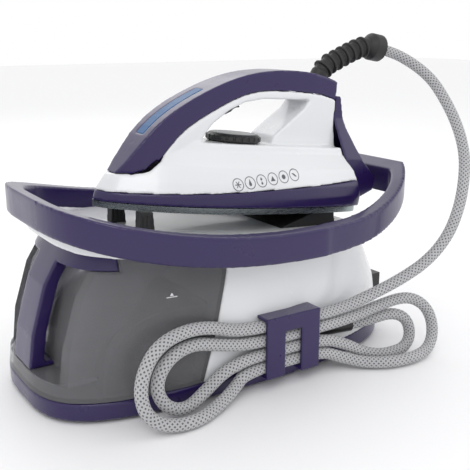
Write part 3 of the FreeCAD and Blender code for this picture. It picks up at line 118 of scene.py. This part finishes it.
class IronSizes(bpy.types.PropertyGroup):
    """Sizes of the finish: how finely and how softly the mouldings are made."""
    edge: bpy.props.FloatProperty(name="Edge softness", description="How far moulded edges are rounded",
                                  default=0.0011, unit="LENGTH")
    braid: bpy.props.FloatProperty(name="Braid pitch", description="Distance between lozenges on the hose",
                                   default=0.0042, unit="LENGTH")
    floor: bpy.props.FloatProperty(name="Floor", description="Half side of the floor", default=6.0,
                                   unit="LENGTH")


# ------------------------------------------------------------------------------------ node helpers
def link(tree, source, target):
    tree.links.new(source, target)


def math_node(tree, operation, first, second=None, third=None):
    """A Math node fed by sockets or plain numbers; returns its output."""
    node = tree.nodes.new("ShaderNodeMath")
    node.operation = operation
    for index, value in enumerate((first, second, third)):
        if value is None:
            continue
        if isinstance(value, (int, float)):
            node.inputs[index].default_value = value
        else:
            link(tree, value, node.inputs[index])
    return node.outputs[0]


def noise(tree, vector, scale, detail=2.0):
    node = tree.nodes.new("ShaderNodeTexNoise")
    node.inputs["Scale"].default_value = scale
    node.inputs["Detail"].default_value = detail
    link(tree, vector, node.inputs["Vector"])
    return node.outputs[0]


def mixed(tree, factor, first, second):
    """A colour mix of two sockets or colours."""
    node = tree.nodes.new("ShaderNodeMix")
    node.data_type = "RGBA"
    link(tree, factor, node.inputs[0])
    for socket, value in ((node.inputs[6], first), (node.inputs[7], second)):
        if isinstance(value, (tuple, list)):
            socket.default_value = (*value, 1)
        else:
            link(tree, value, socket)
    return node.outputs[2]


def new_group(name, inputs, outputs):
    """An empty shader group with named sockets; returns the tree and its two end nodes."""
    tree = bpy.data.node_groups.new(name, "ShaderNodeTree")
    for label, kind, value in inputs:
        socket = tree.interface.new_socket(label, in_out="INPUT", socket_type=kind)
        if value is not None:
            socket.default_value = value
    for label, kind in outputs:
        tree.interface.new_socket(label, in_out="OUTPUT", socket_type=kind)
    return tree, tree.nodes.new("NodeGroupInput"), tree.nodes.new("NodeGroupOutput")


def moulding_group():
    """Moulded surface: faint clouding of the colour, uneven gloss and a fine grain."""
    tree, start, end = new_group(
        "Moulding",
        [("Vector", "NodeSocketVector", None), ("Colour", "NodeSocketColor", (0.5, 0.5, 0.5, 1)),
         ("Gloss", "NodeSocketFloat", 0.3), ("Clouding", "NodeSocketFloat", 0.1),
         ("Grain", "NodeSocketFloat", 1.0)],
        [("Colour", "NodeSocketColor"), ("Roughness", "NodeSocketFloat"), ("Height", "NodeSocketFloat")])
    vector = start.outputs["Vector"]
    cloud = noise(tree, vector, 9.0, 3.0)
    fine = noise(tree, vector, 900.0, 2.0)
    handling = noise(tree, vector, 42.0, 5.0)
    lift = math_node(tree, "MULTIPLY", math_node(tree, "SUBTRACT", cloud, 0.5), start.outputs["Clouding"])
    shade = tree.nodes.new("ShaderNodeHueSaturation")
    link(tree, start.outputs["Colour"], shade.inputs["Color"])
    link(tree, math_node(tree, "ADD", lift, 1.0), shade.inputs["Value"])
    link(tree, shade.outputs[0], end.inputs["Colour"])
    spread = math_node(tree, "MULTIPLY", math_node(tree, "SUBTRACT", handling, 0.5), 0.16)
    link(tree, math_node(tree, "ADD", start.outputs["Gloss"], spread), end.inputs["Roughness"])
    link(tree, math_node(tree, "MULTIPLY", fine, start.outputs["Grain"]), end.inputs["Height"])
    return tree


def metal_group():
    """Metal surface: drawn lines along X and slow patches of wear."""
    tree, start, end = new_group(
        "Metal",
        [("Vector", "NodeSocketVector", None), ("Colour", "NodeSocketColor", (0.6, 0.6, 0.6, 1)),
         ("Gloss", "NodeSocketFloat", 0.35)],
        [("Colour", "NodeSocketColor"), ("Roughness", "NodeSocketFloat"), ("Height", "NodeSocketFloat")])
    stretch = tree.nodes.new("ShaderNodeMapping")
    stretch.inputs["Scale"].default_value = (0.06, 1, 1)
    link(tree, start.outputs["Vector"], stretch.inputs["Vector"])
    lines = noise(tree, stretch.outputs[0], 1400.0, 2.0)
    patches = noise(tree, start.outputs["Vector"], 30.0, 3.0)
    dark = tree.nodes.new("ShaderNodeHueSaturation")
    link(tree, start.outputs["Colour"], dark.inputs["Color"])
    link(tree, math_node(tree, "ADD", math_node(tree, "MULTIPLY", patches, 0.25), 0.87), dark.inputs["Value"])
    link(tree, dark.outputs[0], end.inputs["Colour"])
    spread = math_node(tree, "MULTIPLY", math_node(tree, "SUBTRACT", lines, 0.5), 0.2)
    link(tree, math_node(tree, "ADD", start.outputs["Gloss"], spread), end.inputs["Roughness"])
    link(tree, lines, end.inputs["Height"])
    return tree


def braid_group():
    """Braided sleeve on a UV map: U counts turns of the hose's girth along it, V goes once round it."""
    tree, start, end = new_group(
        "Braid",
        [("UV", "NodeSocketVector", None), ("Cloth", "NodeSocketColor", (0.7, 0.7, 0.7, 1)),
         ("Lozenge", "NodeSocketColor", (0.1, 0.1, 0.1, 1)), ("Rows", "NodeSocketFloat", 6.0)],
        [("Colour", "NodeSocketColor"), ("Roughness", "NodeSocketFloat"), ("Height", "NodeSocketFloat")])
    split = tree.nodes.new("ShaderNodeSeparateXYZ")
    link(tree, start.outputs["UV"], split.inputs[0])
    along = math_node(tree, "MULTIPLY", split.outputs[0], start.outputs["Rows"])
    round_it = math_node(tree, "MULTIPLY", split.outputs[1], start.outputs["Rows"])
    plus = math_node(tree, "ADD", along, round_it)
    minus = math_node(tree, "SUBTRACT", along, round_it)
    cell_a = math_node(tree, "ABSOLUTE", math_node(tree, "SUBTRACT", math_node(tree, "FRACT", plus), 0.5))
    cell_b = math_node(tree, "ABSOLUTE", math_node(tree, "SUBTRACT", math_node(tree, "FRACT", minus), 0.5))
    widest = math_node(tree, "MAXIMUM", cell_a, cell_b)
    mark = math_node(tree, "LESS_THAN", widest, 0.235)
    # single yarns, six to a cell, crossing each other
    yarn = 6 * 2 * math.pi
    one = math_node(tree, "SINE", math_node(tree, "MULTIPLY", plus, yarn))
    two = math_node(tree, "SINE", math_node(tree, "MULTIPLY", minus, yarn))
    weave = math_node(tree, "MULTIPLY", one, two)
    # painted shade: the yarn colour is darkened where the weave's relief dips, in the creases between the yarns
    shade = math_node(tree, "MULTIPLY_ADD", weave, 0.10, 0.94)
    dirt = math_node(tree, "MULTIPLY_ADD", noise(tree, start.outputs["UV"], 3.0, 3.0), 0.12, 0.92)
    tone = tree.nodes.new("ShaderNodeHueSaturation")
    link(tree, mixed(tree, mark, start.outputs["Cloth"], start.outputs["Lozenge"]), tone.inputs["Color"])
    link(tree, math_node(tree, "MULTIPLY", shade, dirt), tone.inputs["Value"])
    link(tree, tone.outputs[0], end.inputs["Colour"])
    link(tree, math_node(tree, "MULTIPLY_ADD", weave, 0.05, 0.78), end.inputs["Roughness"])
    link(tree, math_node(tree, "MULTIPLY_ADD", weave, 0.5, 0.5), end.inputs["Height"])
    return tree


GROUPS = {}
FINISHES = {}


def material(name, group, values, relief=0.0, uv=False, **shader):
    """A Principled material whose colour, roughness and relief come from a shared group."""
    made = bpy.data.materials.new(name)
    made.use_nodes = True
    tree = made.node_tree
    principled = tree.nodes["Principled BSDF"]
    effect = tree.nodes.new("ShaderNodeGroup")
    effect.node_tree = GROUPS[group]
    place = tree.nodes.new("ShaderNodeTexCoord")
    link(tree, place.outputs["UV" if uv else "Object"], effect.inputs[0])
    for key, value in values.items():
        effect.inputs[key].default_value = (*value, 1) if isinstance(value, (tuple, list)) else value
    link(tree, effect.outputs["Colour"], principled.inputs["Base Color"])
    link(tree, effect.outputs["Roughness"], principled.inputs["Roughness"])
    if relief:
        bump = tree.nodes.new("ShaderNodeBump")
        bump.inputs["Strength"].default_value = 1.0
        bump.inputs["Distance"].default_value = relief
        link(tree, effect.outputs["Height"], bump.inputs["Height"])
        link(tree, bump.outputs[0], principled.inputs["Normal"])
    for key, value in shader.items():
        principled.inputs[key.replace("_", " ")].default_value = value
    FINISHES[name] = made
    return made


def make_finishes():
    tints = bpy.context.scene.iron_colours
    GROUPS["moulding"] = moulding_group()
    GROUPS["metal"] = metal_group()
    GROUPS["braid"] = braid_group()
    rows = round(math.pi * HOSE_SIZE / bpy.context.scene.iron_sizes.braid)
    purple, white, black = tuple(tints.purple), tuple(tints.white), tuple(tints.black)
    material("purple_satin", "moulding", {"Colour": purple, "Gloss": 0.30, "Clouding": 0.25, "Grain": 1.0},
             0.00002, Coat_Weight=0.3, Coat_Roughness=0.14, Specular_IOR_Level=0.4)
    material("white_gloss", "moulding", {"Colour": white, "Gloss": 0.24, "Clouding": 0.04, "Grain": 0.5},
             0.00001, Coat_Weight=0.4, Coat_Roughness=0.08)
    material("black_rubber", "moulding", {"Colour": black, "Gloss": 0.55, "Clouding": 0.5, "Grain": 1.0},
             0.00006)
    material("black_plastic", "moulding", {"Colour": black, "Gloss": 0.36, "Clouding": 0.3, "Grain": 1.0},
             0.00003)
    material("grey_top", "moulding", {"Colour": (0.16, 0.165, 0.17), "Gloss": 0.34, "Clouding": 0.1,
                                      "Grain": 1.0}, 0.00003)
    material("blue_inlay", "moulding", {"Colour": tuple(tints.inlay), "Gloss": 0.4, "Clouding": 0.3,
                                        "Grain": 1.0}, 0.00004)
    material("print_grey", "moulding", {"Colour": (0.10, 0.10, 0.12), "Gloss": 0.5, "Clouding": 0.1,
                                        "Grain": 0.3}, 0.00001)
    material("print_pale", "moulding", {"Colour": (0.72, 0.72, 0.74), "Gloss": 0.5, "Clouding": 0.1,
                                        "Grain": 0.3}, 0.00001)
    material("circuit", "moulding", {"Colour": (0.02, 0.12, 0.05), "Gloss": 0.4, "Clouding": 0.4,
                                     "Grain": 1.0}, 0.00003)
    material("clear_tube", "moulding", {"Colour": (0.62, 0.60, 0.55), "Gloss": 0.4, "Clouding": 0.2,
                                        "Grain": 0.5}, 0.00002)
    material("smoke_tank", "moulding", {"Colour": tuple(tints.smoke), "Gloss": 0.06, "Clouding": 0.05,
                                        "Grain": 0.1}, Transmission_Weight=0.85, IOR=1.2)
    material("sole_metal", "metal", {"Colour": (0.30, 0.34, 0.34), "Gloss": 0.28}, 0.00001, Metallic=1.0)
    material("cast_metal", "metal", {"Colour": (0.55, 0.56, 0.57), "Gloss": 0.5}, 0.00005, Metallic=1.0)
    material("steel", "metal", {"Colour": (0.62, 0.62, 0.62), "Gloss": 0.3}, 0.00001, Metallic=1.0)
    material("brass", "metal", {"Colour": (0.72, 0.52, 0.22), "Gloss": 0.3}, 0.00001, Metallic=1.0)
    material("hose_cloth", "braid", {"Cloth": tuple(tints.cloth), "Lozenge": tuple(tints.lozenge),
                                     "Rows": float(rows)}, 0.00025, uv=True, Sheen_Weight=0.25)


# ------------------------------------------------------------------------------------ mesh helpers
def paint(obj, finish):
    obj.data.materials.clear()
    obj.data.materials.append(FINISHES[finish])


def add_object(name, mesh):
    obj = bpy.data.objects.new(name, mesh)
    bpy.context.scene.collection.objects.link(obj)
    return obj


def apply_modifiers(obj):
    """The object's evaluated mesh replaces its mesh, and the modifiers go."""
    graph = bpy.context.evaluated_depsgraph_get()
    mesh = bpy.data.meshes.new_from_object(obj.evaluated_get(graph))
    mesh.name = obj.name
    obj.modifiers.clear()
    obj.data = mesh


def cad_copy(name, *nodes):
    """One merged copy of some CAD nodes, with their doubled points joined."""
    work = bmesh.new()
    for node in nodes:
        work.from_mesh(frame["nodes"][node].data)
    bmesh.ops.remove_doubles(work, verts=work.verts, dist=1e-6)
    mesh = bpy.data.meshes.new(name)
    work.to_mesh(mesh)
    work.free()
    return add_object(name, mesh)


def soften(obj, voxel, scale):
    """A moulded skin: the form is remeshed evenly and its edges are rounded."""
    remesh = obj.modifiers.new("Even", "REMESH")
    remesh.mode = "VOXEL"
    remesh.voxel_size = voxel
    smooth = obj.modifiers.new("Round", "SMOOTH")
    smooth.factor = 0.5
    smooth.iterations = max(2, round(4 * scale * bpy.context.scene.iron_sizes.edge / voxel))
    apply_modifiers(obj)
    obj.data.polygons.foreach_set("use_smooth", [True] * len(obj.data.polygons))


def moulded(name, nodes, body, finish, voxel=0.0012, scale=1.0):
    obj = cad_copy(name, *nodes)
    soften(obj, voxel, scale)
    paint(obj, finish)
    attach(obj, body)
    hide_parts(*nodes)
    return obj


def spline_points(name, route, steps=16):
    """Points along the smooth NURBS line that has the route's points as its control points."""
    curve = bpy.data.curves.new(name, "CURVE")
    curve.dimensions = "3D"
    spline = curve.splines.new("NURBS")
    spline.points.add(len(route) - 1)
    for point, place in zip(spline.points, route):
        point.co = (*place, 1)
    spline.order_u = 3
    spline.use_endpoint_u = True
    spline.resolution_u = steps
    holder = add_object(name, curve)
    graph = bpy.context.evaluated_depsgraph_get()
    mesh = bpy.data.meshes.new_from_object(holder.evaluated_get(graph))
    points = [vertex.co.copy() for vertex in mesh.vertices]
    bpy.data.objects.remove(holder)
    bpy.data.meshes.remove(mesh)
    return points


def even(points, step):
    """The same line with points a fixed step apart."""
    out, left = [points[0].copy()], step
    for start, end in zip(points, points[1:]):
        run = (end - start).length
        done = 0.0
        while run - done >= left:
            done += left
            out.append(start.lerp(end, done / run))
            left = step
        left -= run - done
    if (out[-1] - points[-1]).length > step * 0.3:
        out.append(points[-1].copy())
    return out


def carried_frames(points):
    """Two unit vectors square to the line at each point, carried along it without twist."""
    ways = []
    for i in range(len(points)):
        ways.append((points[min(i + 1, len(points) - 1)] - points[max(i - 1, 0)]).normalized())
    side = ways[0].orthogonal().normalized()
    frames = []
    for way in ways:
        side = (side - way * side.dot(way)).normalized()
        frames.append((side, way.cross(side)))
    return frames


def tube_mesh(name, points, radius, around=20):
    """A closed tube along points; its UV map counts girths along the tube and goes once round it."""
    frames = carried_frames(points)
    verts, faces = [], []
    for point, (one, two) in zip(points, frames):
        for k in range(around):
            turn = 2 * math.pi * k / around
            verts.append(point + one * (radius * math.cos(turn)) + two * (radius * math.sin(turn)))
    rings = len(points)
    for i in range(rings - 1):
        for k in range(around):
            following = (k + 1) % around
            faces.append((i * around + k, i * around + following, (i + 1) * around + following,
                          (i + 1) * around + k))
    faces.append(tuple(range(around - 1, -1, -1)))
    faces.append(tuple((rings - 1) * around + k for k in range(around)))
    mesh = bpy.data.meshes.new(name)
    mesh.from_pydata(verts, [], faces)
    girth = 2 * math.pi * radius
    lengths = [0.0]
    for start, end in zip(points, points[1:]):
        lengths.append(lengths[-1] + (end - start).length)
    layer = mesh.uv_layers.new(name="Along")
    for face in mesh.polygons:
        places = [v % around for v in face.vertices]
        seam = 0 in places and around - 1 in places
        for loop in face.loop_indices:
            vertex = mesh.loops[loop].vertex_index
            ring, k = divmod(vertex, around)
            if seam and k == 0:
                k = around
            layer.data[loop].uv = (lengths[ring] / girth, k / around)
    mesh.polygons.foreach_set("use_smooth", [True] * len(mesh.polygons))
    return add_object(name, mesh)


def lathe(name, profile, around, place):
    """A closed turned form from a profile of (radius, height) that starts and ends on the axis."""
    verts = [place @ Vector((0, 0, profile[0][1]))]
    for radius, height in profile[1:-1]:
        for k in range(around):
            turn = 2 * math.pi * k / around
            verts.append(place @ Vector((radius * math.cos(turn), radius * math.sin(turn), height)))
    verts.append(place @ Vector((0, 0, profile[-1][1])))
    rows, last = len(profile) - 2, len(verts) - 1
    faces = []
    for k in range(around):
        following = (k + 1) % around
        faces.append((0, 1 + following, 1 + k))
        for row in range(rows - 1):
            low, high = 1 + row * around, 1 + (row + 1) * around
            faces.append((low + k, low + following, high + following, high + k))
        top = 1 + (rows - 1) * around
        faces.append((top + k, top + following, last))
    mesh = bpy.data.meshes.new(name)
    mesh.from_pydata(verts, [], faces)
    return add_object(name, mesh)


def surface(node):
    """The CAD node's surface, for laying prints on it."""
    work = bmesh.new()
    work.from_mesh(frame["nodes"][node].data)
    tree = BVHTree.FromBMesh(work)
    work.free()
    return tree


def lay_on(obj, tree, side, lift=0.00015):
    """Each point moves along Y onto the surface seen from that side, and a hair off it."""
    for vertex in obj.data.vertices:
        start = Vector((vertex.co.x, side * 0.3, vertex.co.z))
        hit, normal, _, _ = tree.ray_cast(start, Vector((0, -side, 0)))
        vertex.co = hit + Vector((0, side * lift, 0))
    work = bmesh.new()
    work.from_mesh(obj.data)
    for face in work.faces:
        face.normal_update()
        if face.normal.y * side < 0:
            face.normal_flip()
    work.to_mesh(obj.data)
    work.free()


def glyph_shapes():
    """Six plain signs in a unit ring: star, drop, pair of drops, triangle, disc and slanted leaf."""
    star = []
    for k in range(3):
        turn = math.pi * k / 3
        way, side = Vector((math.cos(turn), math.sin(turn))), Vector((-math.sin(turn), math.cos(turn)))
        star.append([way * 0.55 + side * 0.07, -way * 0.55 + side * 0.07, -way * 0.55 - side * 0.07,
                     way * 0.55 - side * 0.07])
    drop = [(0, 0.6), (-0.14, 0.2), (-0.26, -0.12), (-0.22, -0.4), (0, -0.52), (0.22, -0.4), (0.26, -0.12),
            (0.14, 0.2)]
    upper = [(x * 0.75, y * 0.5 + 0.32) for x, y in drop]
    lower = [(x * 0.75, y * 0.5 - 0.32) for x, y in drop]
    triangle = [(-0.45, -0.35), (0.45, -0.35), (0, 0.45)]
    disc = [(0.38 * math.cos(math.pi * k / 8), 0.38 * math.sin(math.pi * k / 8)) for k in range(16)]
    leaf = [(-0.5, 0.3), (-0.1, 0.28), (0.5, -0.3), (0.1, -0.28)]
    return [star, [drop], [upper, lower], [triangle], [disc], [leaf]]


def glyph(name, shapes, around=40, inner=0.88):
    """A ring with its sign, upright in the XZ plane, one unit in radius."""
    verts, faces = [], []
    for k in range(around):
        turn = 2 * math.pi * k / around
        for radius in (1.0, inner):
            verts.append((radius * math.cos(turn), 0, radius * math.sin(turn)))
        following = (k + 1) % around
        faces.append((2 * k, 2 * following, 2 * following + 1, 2 * k + 1))
    for shape in shapes:
        faces.append(tuple(range(len(verts), len(verts) + len(shape))))
        verts += [(point[0], 0, point[1]) for point in shape]
    mesh = bpy.data.meshes.new(name)
    mesh.from_pydata(verts, [], faces)
    return bpy.data.objects.new(name, mesh)


def scatter(obj, items, size, finish):
    """Puts the collection's objects in turn on the object's points, through Geometry Nodes."""
    tree = bpy.data.node_groups.new("Row of signs", "GeometryNodeTree")
    for label, kind in (("Geometry", "NodeSocketGeometry"), ("Signs", "NodeSocketCollection"),
                        ("Size", "NodeSocketFloat"), ("Finish", "NodeSocketMaterial")):
        tree.interface.new_socket(label, in_out="INPUT", socket_type=kind)
    tree.interface.new_socket("Geometry", in_out="OUTPUT", socket_type="NodeSocketGeometry")
    start, end = tree.nodes.new("NodeGroupInput"), tree.nodes.new("NodeGroupOutput")
    signs = tree.nodes.new("GeometryNodeCollectionInfo")
    signs.inputs["Separate Children"].default_value = True
    signs.inputs["Reset Children"].default_value = True
    put = tree.nodes.new("GeometryNodeInstanceOnPoints")
    put.inputs["Pick Instance"].default_value = True
    index = tree.nodes.new("GeometryNodeInputIndex")
    real = tree.nodes.new("GeometryNodeRealizeInstances")
    coat = tree.nodes.new("GeometryNodeSetMaterial")
    link(tree, start.outputs["Geometry"], put.inputs["Points"])
    link(tree, start.outputs["Signs"], signs.inputs["Collection"])
    link(tree, signs.outputs[0], put.inputs["Instance"])
    link(tree, index.outputs[0], put.inputs["Instance Index"])
    link(tree, start.outputs["Size"], put.inputs["Scale"])
    link(tree, put.outputs[0], real.inputs[0])
    link(tree, real.outputs[0], coat.inputs["Geometry"])
    link(tree, start.outputs["Finish"], coat.inputs["Material"])
    link(tree, coat.outputs[0], end.inputs[0])
    modifier = obj.modifiers.new("Signs", "NODES")
    modifier.node_group = tree
    values = {"Signs": items, "Size": size, "Finish": FINISHES[finish]}
    for item in tree.interface.items_tree:
        if item.in_out == "INPUT" and item.name in values:
            modifier[item.identifier] = values[item.name]
    apply_modifiers(obj)


# ------------------------------------------------------------------------------------ operators
class MakeStage(bpy.types.Operator):
    """Floor, lights and camera"""
    bl_idname = "steamiron.stage"
    bl_label = "Stage"

    def execute(self, context):
        scene = context.scene
        half = scene.iron_sizes.floor
        mesh = bpy.data.meshes.new("floor")
        mesh.from_pydata([(-half, -half, 0), (half, -half, 0), (half, half, 0), (-half, half, 0)], [],
                         [(0, 1, 2, 3)])
        floor = add_object("floor", mesh)
        pale = bpy.data.materials.new("floor_pale")
        pale.use_nodes = True
        shader = pale.node_tree.nodes["Principled BSDF"]
        shader.inputs["Base Color"].default_value = (0.92, 0.92, 0.93, 1)
        shader.inputs["Roughness"].default_value = 0.55
        floor.data.materials.append(pale)
        world = bpy.data.worlds.new("studio")
        world.use_nodes = True
        world.node_tree.nodes["Background"].inputs[0].default_value = (1.0, 1.0, 1.0, 1)
        world.node_tree.nodes["Background"].inputs[1].default_value = 1.0
        scene.world = world
        scene.view_settings.view_transform = "Standard"
        for name, place, size, power in (("key", (-0.9, -1.3, 1.5), 0.9, 8), ("fill", (1.5, -0.9, 0.9), 0.8, 2),
                                         ("back", (0.3, 1.4, 1.3), 1.2, 4)):
            light = bpy.data.lights.new(name, "AREA")
            light.energy, light.size = power, size
            lamp = bpy.data.objects.new(name, light)
            lamp.location = place
            lamp.rotation_euler = (Vector((0, 0, 0.12)) - Vector(place)).to_track_quat("-Z", "Y").to_euler()
            scene.collection.objects.link(lamp)
        self.camera(scene)
        return {"FINISHED"}

    @staticmethod
    def camera(scene):
        """Camera off the near front corner, a little above."""
        azimuth, rise, distance = math.radians(-33), math.radians(15), 0.7125
        target = Vector((0.0208, 0, 0.10925))
        back = Vector((math.sin(azimuth) * math.cos(rise), -math.cos(azimuth) * math.cos(rise),
                       math.sin(rise)))
        lens = bpy.data.cameras.new("camera")
        lens.lens, lens.sensor_width = 58.6, 36.0
        lens.clip_start = 0.01
        camera = bpy.data.objects.new("camera", lens)
        camera.location = target + back * distance
        camera.rotation_euler = (-back).to_track_quat("-Z", "Y").to_euler()
        scene.collection.objects.link(camera)
        scene.camera = camera


class MakeHose(bpy.types.Operator):
    """Braided hose: the free arc and the looped hank"""
    bl_idname = "steamiron.hose"
    bl_label = "Hose"

    def execute(self, context):
        radius = HOSE_SIZE / 2
        free = even(spline_points("free_line", FREE_ROUTE), 0.0016)
        arc = tube_mesh("hose_arc", free, radius)
        paint(arc, "hose_cloth")
        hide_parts("steam_hose")
        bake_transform(arc)
        looped = even(spline_points("hank_line", HANK_ROUTE), 0.0016)
        hank = tube_mesh("hose_loops", looped, radius)
        paint(hank, "hose_cloth")
        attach(hank, "base")
        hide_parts("hose_hank")
        return {"FINISHED"}


class MakeBase(bpy.types.Operator):
    """Soft-edged skins over the shells of the base"""
    bl_idname = "steamiron.base"
    bl_label = "Base"

    def execute(self, context):
        moulded("carry_frame_skin", ["carry_frame"], "base", "purple_satin", 0.0013, 2.4)
        moulded("base_tray_skin", ["base_tray"], "base", "purple_satin", 0.0013)
        moulded("rear_housing_skin", ["rear_housing"], "base", "white_gloss", 0.0014)
        moulded("rest_plate_skin", ["top_plate"], "base", "white_gloss", 0.0014)
        moulded("pump_cover_skin", ["pump_cover"], "base", "black_plastic", 0.0014, 1.2)
        moulded("hose_clip_skin", ["hose_clip"], "base", "purple_satin", 0.0007)
        moulded("front_rests_skin", ["front_rests"], "base", "black_rubber", 0.0005, 0.5)
        moulded("heel_rest_skin", ["heel_rest"], "base", "black_rubber", 0.0008)
        return {"FINISHED"}


class MakeTank(bpy.types.Operator):
    """Soft-edged skin over the tank's grip, and the tank's level mark"""
    bl_idname = "steamiron.tank"
    bl_label = "Tank"

    def execute(self, context):
        moulded("tank_grip_skin", ["tank_grip"], "tank", "purple_satin", 0.0011, 1.6)
        x, z = LEVEL_MARK
        bar, half, point, foot, tip = 0.0045, 0.0003, 0.0016, 0.0010, 0.0034
        shapes = [[(-bar, -half), (bar, -half), (bar, half), (-bar, half)],
                  [(-point, foot), (point, foot), (0, tip)]]
        verts, faces = [], []
        for shape in shapes:
            faces.append(tuple(range(len(verts), len(verts) + len(shape))))
            verts += [(x + a, 0, z + b) for a, b in shape]
        mesh = bpy.data.meshes.new("level_mark")
        mesh.from_pydata(verts, [], faces)
        mark = add_object("level_mark", mesh)
        lay_on(mark, surface("tank_shell"), -1)
        paint(mark, "print_pale")
        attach(mark, "tank")
        return {"FINISHED"}


class MakeIron(bpy.types.Operator):
    """Soft-edged skins over the shells of the iron"""
    bl_idname = "steamiron.iron"
    bl_label = "Iron"

    def execute(self, context):
        moulded("iron_body_skin", ["iron_body"], "iron", "white_gloss", 0.0012, 1.4)
        moulded("handle_skin", ["handle_cover"], "iron", "purple_satin", 0.0010, 1.8)
        moulded("heel_skin", ["heel_cover"], "iron", "purple_satin", 0.0010, 1.4)
        moulded("skirt_skin", ["skirt"], "iron", "purple_satin", 0.0010)
        moulded("inlay_skin", ["handle_inlay"], "iron", "blue_inlay", 0.0005, 0.5)
        moulded("boot_skin", ["hose_boot"], "iron", "black_rubber", 0.0006, 0.5)
        spring = cad_copy("trigger_coil", "trigger_spring")
        spring.data.polygons.foreach_set("use_smooth", [True] * len(spring.data.polygons))
        paint(spring, "steel")
        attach(spring, "iron")
        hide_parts("trigger_spring")
        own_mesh(spring)
        return {"FINISHED"}


class MakeDial(bpy.types.Operator):
    """Grey cap and pointer on the temperature dial"""
    bl_idname = "steamiron.dial"
    bl_label = "Dial"

    def execute(self, context):
        rise = 0.0004
        place = IRON @ Matrix.Translation(DIAL_TOP)
        radius = DIAL_CAP_RADIUS
        profile = [(0, 0), (radius, 0), (radius, rise), (radius - 0.0006, rise + 0.0002),
                   (radius - 0.0016, rise + 0.0002), (radius - 0.0020, rise), (0, rise + 0.0004)]
        cap = lathe("dial_cap", profile, 96, place)
        paint(cap, "grey_top")
        pointer = bmesh.new()
        bmesh.ops.create_cube(pointer, size=1)
        reach, length, width, thick = 0.0150, 0.007, 0.0014, 0.0006
        shape = (place @ Matrix.Translation((-reach, 0, rise + thick / 2))
                 @ Matrix.Diagonal((length, width, thick, 1)))
        pointer.transform(shape)
        mesh = bpy.data.meshes.new("dial_pointer")
        pointer.to_mesh(mesh)
        pointer.free()
        mark = add_object("dial_pointer", mesh)
        paint(mark, "print_pale")
        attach(cap, "dial")
        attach(mark, "dial")
        return {"FINISHED"}


class MakeMarks(bpy.types.Operator):
    """Row of ringed care marks printed on the iron's near side"""
    bl_idname = "steamiron.marks"
    bl_label = "Printed marks"

    def execute(self, context):
        (x_first, z_first), (x_last, z_last), count = MARKS
        mesh = bpy.data.meshes.new("care_marks")
        steps = [k / (count - 1) for k in range(count)]
        mesh.from_pydata([(x_first + (x_last - x_first) * t, 0, z_first + (z_last - z_first) * t)
                          for t in steps], [], [])
        marks = add_object("care_marks", mesh)
        glyphs = bpy.data.collections.new("glyphs")
        for index, shapes in enumerate(glyph_shapes()):
            glyphs.objects.link(glyph("glyph_%d" % index, shapes))
        scatter(marks, glyphs, MARK_RADIUS, "print_grey")
        lay_on(marks, surface("iron_body"), -1)
        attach(marks, "iron")
        return {"FINISHED"}


class PaintParts(bpy.types.Operator):
    """Finishes of the CAD nodes that keep their own shape"""
    bl_idname = "steamiron.parts"
    bl_label = "Small parts"

    def execute(self, context):
        rows = {row["node"]: row["material_slot"] for row in frame["record"]["subparts"]}
        for name, obj in frame["nodes"].items():
            finish = rows[name]
            for index in range(len(obj.data.materials)):
                obj.data.materials[index] = FINISHES[finish]
        return {"FINISHED"}


PARTS = (MakeStage, MakeHose, MakeBase, MakeTank, MakeIron, MakeDial, MakeMarks, PaintParts)


class IronPanel(bpy.types.Panel):
    """Steam iron"""
    bl_idname = "VIEW3D_PT_steamiron"
    bl_label = "Steam iron"
    bl_space_type = "VIEW_3D"
    bl_region_type = "UI"
    bl_category = "Steam iron"

    def draw(self, context):
        for group in (context.scene.iron_colours, context.scene.iron_sizes):
            for name in group.bl_rna.properties.keys():
                if name not in ("rna_type", "name"):
                    self.layout.prop(group, name)
        for part in PARTS:
            self.layout.operator(part.bl_idname)


CLASSES = (IronColours, IronSizes, *PARTS, IronPanel)


def register():
    for item in CLASSES:
        bpy.utils.register_class(item)
    bpy.types.Scene.iron_colours = bpy.props.PointerProperty(type=IronColours)
    bpy.types.Scene.iron_sizes = bpy.props.PointerProperty(type=IronSizes)


def unregister():
    del bpy.types.Scene.iron_sizes
    del bpy.types.Scene.iron_colours
    for item in reversed(CLASSES):
        bpy.utils.unregister_class(item)


def main():
    register()
    make_finishes()
    bpy.ops.steamiron.stage()
    bpy.ops.steamiron.iron()
    bpy.ops.steamiron.hose()
    bpy.ops.steamiron.base()
    bpy.ops.steamiron.tank()
    bpy.ops.steamiron.dial()
    bpy.ops.steamiron.marks()
    bpy.ops.steamiron.parts()


if __name__ == "__main__":
    main()
